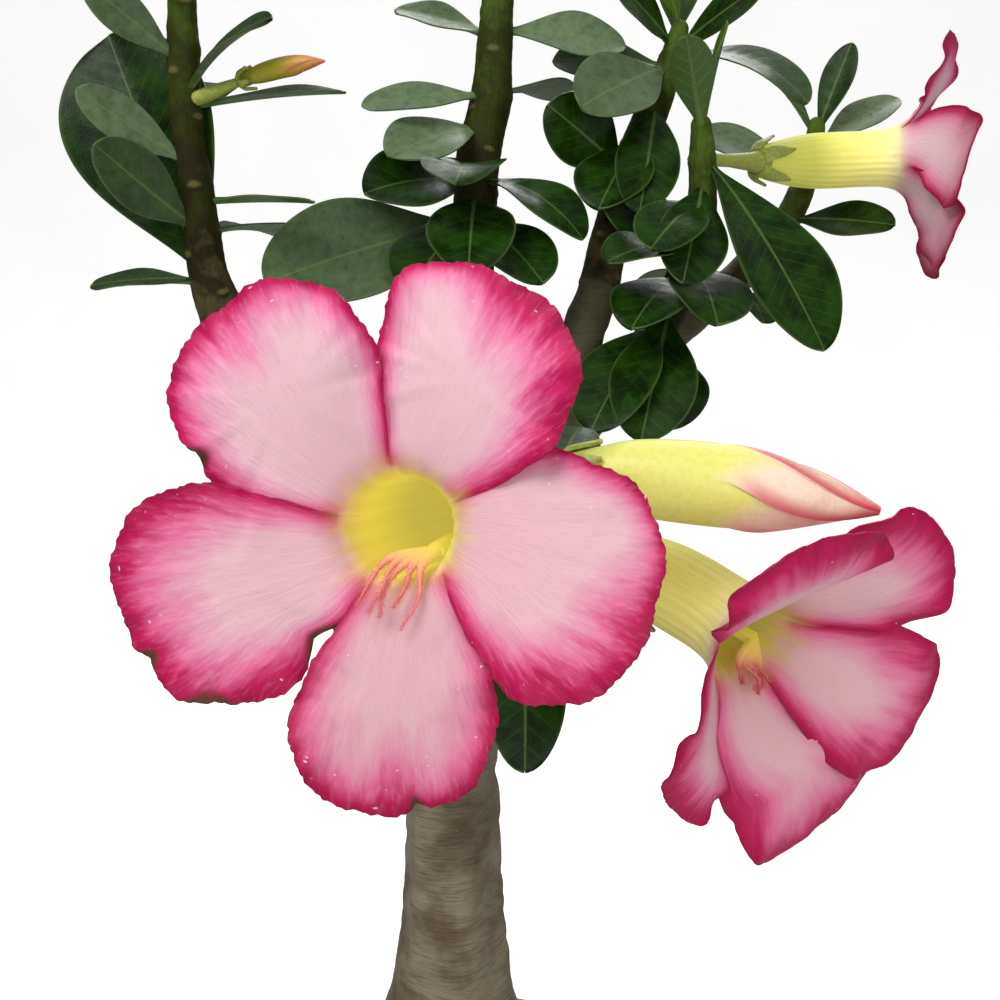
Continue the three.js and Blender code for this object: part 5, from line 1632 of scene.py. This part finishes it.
# %% The finish of stamens
ANTHER_STOPS = ((0.0, paint(206, 192, 74)), (0.26, paint(216, 176, 100)), (0.46, paint(238, 154, 136)),
                (1.0, paint(228, 112, 132)))
ANTHER_SPECK = paint(166, 116, 58)

stamen_skin, desk, shader = finish("stamen_skin", roughness=0.6, emission_strength=0.3)
far = desk.mark("far")
speckle = desk.use(pores, {"Place": desk.position(), "Scale": 2600.0})
thread = desk.tint(desk.ramp(far, ANTHER_STOPS), speckle, 0.3, ANTHER_SPECK)
desk.feed(shader.inputs["Base Color"], thread)
# Painted light: the cone and the roots of the tails glow a little, so they stay bright in the throat's shade.
desk.feed(shader.inputs["Emission Color"], desk.mix(desk.rise(far, 0.2, 0.5), thread, BLACK))
desk.emboss(shader, speckle, 0.4, 0.0002)
tell(stamen_skin)

# %% Stamens
CONE_DEPTHS = (0.985, 0.7, 0.45)
CONE_LEANS = ((0, 0), (3.0, -2.4), (3.8, -3.2))
CONE_NECK = (4.9, -3.5, -5.0)
CONE_RADII = (2.3, 1.2, 1.3, 1.2)
CONE_SIDES = 40
CONE_GROOVE = 0.14
FAN_FROM = (-1.2, -4.4, -1.2)
FAN_STEP = (1.15, -0.3, 0.1)
TAIL_RADII = (0.95, 0.7, 0.27, 0.18, 0.06)
TAIL_STEPS, TAIL_SIDES = 34, 9
TAIL_CURL = 1.1
DOWN_BETWEEN = (11, 33)
DOWN_PER_TAIL = 480
DOWN_LONG = (0.3, 1.0)
DOWN_HALF = 0.032


def add_spike(heap, root, way, long, far):
    """One hair: a needle with three sides."""
    side = unit(np.cross(way, (0.3, 0.5, 0.81)))
    other = np.cross(way, side)
    ring = [root + DOWN_HALF * (side * math.cos(a) + other * math.sin(a)) for a in (0, 2.1, 4.2)]
    heap.add(np.array(ring + [root + way * long]), [(0, 1, 3), (1, 2, 3), (2, 0, 3), (2, 1, 0)], far=far)


def add_stamens(heap, flower):
    """The cone of anthers in a flower's throat, its five tails and the down on them."""
    axes, line = axes_of(flower), tube_line(flower)
    random = np.random.default_rng(flower["seed"] + 30)
    neck = in_flower(axes, *CONE_NECK)
    _, _, up, right = axes
    depths = [line(t) + right * x + up * y for t, (x, y) in zip(CONE_DEPTHS, CONE_LEANS)] + [neck]
    shares = np.linspace(0, 1, 46)
    grooves = CONE_GROOVE * np.abs(np.cos(LOBES / 2 * round_angles(CONE_SIDES)))
    radii = at_shares(CONE_RADII, shares)[:, None] * (1 + grooves * smooth_step(shares, 0.35, 0.7)[:, None])
    rod(heap, frames_along(lambda t: spline(depths, t), shares), radii, CONE_SIDES)
    for i, (x, y, z) in enumerate(flower["tails"]):
        curl = random.uniform(-TAIL_CURL, TAIL_CURL, 2)
        fan = [first + i * step for first, step in zip(FAN_FROM, FAN_STEP)]
        near_end = in_flower(axes, (x + fan[0]) / 2 + curl[0], (y + fan[1]) / 2, z / 2 + 0.6 + curl[1])
        tail = [neck, in_flower(axes, *fan), near_end, in_flower(axes, x, y, z)]
        steps = np.linspace(0, 1, TAIL_STEPS)
        thick = np.interp(steps, [0, 0.3, 0.5, 0.8, 1], TAIL_RADII)
        frames = frames_along(lambda t: spline(tail, t), steps)
        rod(heap, frames, thick, TAIL_SIDES, marks={"far": steps})
        for _ in range(DOWN_PER_TAIL):
            n = int(random.integers(*DOWN_BETWEEN))
            spin = random.uniform(0, math.tau)
            outward = frames[2][n] * math.cos(spin) + frames[3][n] * math.sin(spin)
            way = unit(outward + 0.7 * frames[1][n])
            root = frames[0][n] + outward * thick[n] * 0.7
            add_spike(heap, root, way, random.uniform(*DOWN_LONG), steps[n])


for key, flower in FLOWERS.items():
    heap = Heap("far")
    add_stamens(heap, flower)
    place(piece_of(f"{key}_anthers_and_tails", heap, [stamen_skin]), f"{key}_stamens", "stamen")

# %% [markdown]
# ## Buds
# In a bud the petals are rolled round each other like a closed umbrella, and each free edge shows as a
# ridge that winds to the tip. The rings of the mesh turn with the winding, so every ridge stays a
# clean step along one column of points and never becomes a row of saw teeth.

# %% A bud
BUD_PROFILE = (0.46, 0.66, 0.86, 0.95, 0.99, 1, 1, 0.94, 0.8, 0.6, 0.36, 0.1)
BUD_ROWS = 110
BUD_SIDES = 120
ROLL_STEP = 0.13


def add_bud(heap, bud):
    """A rolled bud round its line, with a step in its radii for each petal's free edge."""
    shares = np.linspace(0, 1, BUD_ROWS)
    heights = [(size, i, 0) for i, size in enumerate(BUD_PROFILE)]
    body = np.array([spline(heights, t)[0] for t in shares]) * bud["radius"]
    at, along, side, across = frames_along(bud_line(bud), shares)
    turn = -bud["twist"] * np.maximum(0, shares - 0.5)[:, None]
    spun_side = side * np.cos(turn) + across * np.sin(turn)
    spun_across = across * np.cos(turn) - side * np.sin(turn)
    swirl = np.mod(np.arange(BUD_SIDES) / BUD_SIDES * LOBES, 1.0)[None, :]
    rolled = smooth_step(shares, 0.42, 0.68)[:, None]
    radii = body[:, None] * (1 + ROLL_STEP * (swirl**1.5 - 0.5) * rolled)
    marks = {"along": shares, "swirl": swirl + 0 * rolled}
    rod(heap, (at, along, spun_side, spun_across), radii, BUD_SIDES, marks=marks)


def bud_finish(name, base, body, shoulder, tip, edge):
    """A bud's skin: the colours of its base, body, shoulder and tip, and of the rolled edges."""
    material, desk, shader = finish(name, roughness=0.42)
    along, swirl = desk.mark("along"), desk.mark("swirl")
    where = desk.position()
    soft = desk.use(blotches, {"Place": where, "Scale": 150.0, "Low": 0.3, "High": 0.7})
    stripe = desk.use(fibres, {"Place": where, "Across": 900.0, "Along": 900.0})
    place_on = desk.plus(along, desk.sway(swirl, 0.14))
    skin = desk.ramp(place_on, [(0.0, base), (0.16, body), (0.5, body), (0.62, shoulder), (0.82, shoulder),
                                (1.0, tip)])
    line = desk.times(desk.rise(swirl, 0.5, 0.97), desk.rise(along, 0.5, 0.62))
    skin = desk.tint(skin, desk.times(soft, desk.rise(along, 0.55, 0.95)), 0.45, edge)
    skin = desk.tint(skin, line, 0.85, edge)
    skin = desk.tint(skin, desk.rise(stripe, 0.45, 0.7), 0.14, base)
    desk.feed(shader.inputs["Base Color"], skin)
    desk.emboss(shader, stripe, 0.3, 0.0003)
    return material


BUD_SKINS = {
    "front": bud_finish("front_bud_skin", paint(168, 178, 62), paint(224, 224, 112), paint(244, 218, 196),
                        paint(222, 104, 112), paint(206, 54, 80)),
    "left": bud_finish("left_bud_skin", paint(104, 124, 34), paint(160, 156, 34), paint(196, 148, 48),
                       paint(196, 104, 70), paint(196, 104, 78)),
}
for key, bud in BUDS.items():
    tell(BUD_SKINS[key])
    heap = Heap("along", "swirl")
    add_bud(heap, bud)
    place(piece_of(f"{key}_rolled_bud", heap, [BUD_SKINS[key]], sharp=40), f"{key}_bud", "bud")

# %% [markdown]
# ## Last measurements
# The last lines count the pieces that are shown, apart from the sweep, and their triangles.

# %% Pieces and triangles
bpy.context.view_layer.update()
shown = [o for o in scene.objects if o.type == "MESH" and not o.hide_render and o != sweep]
total = sum(len(face.vertices) - 2 for o in shown for face in o.data.polygons)
print("pieces:", len(shown), "triangles:", total)
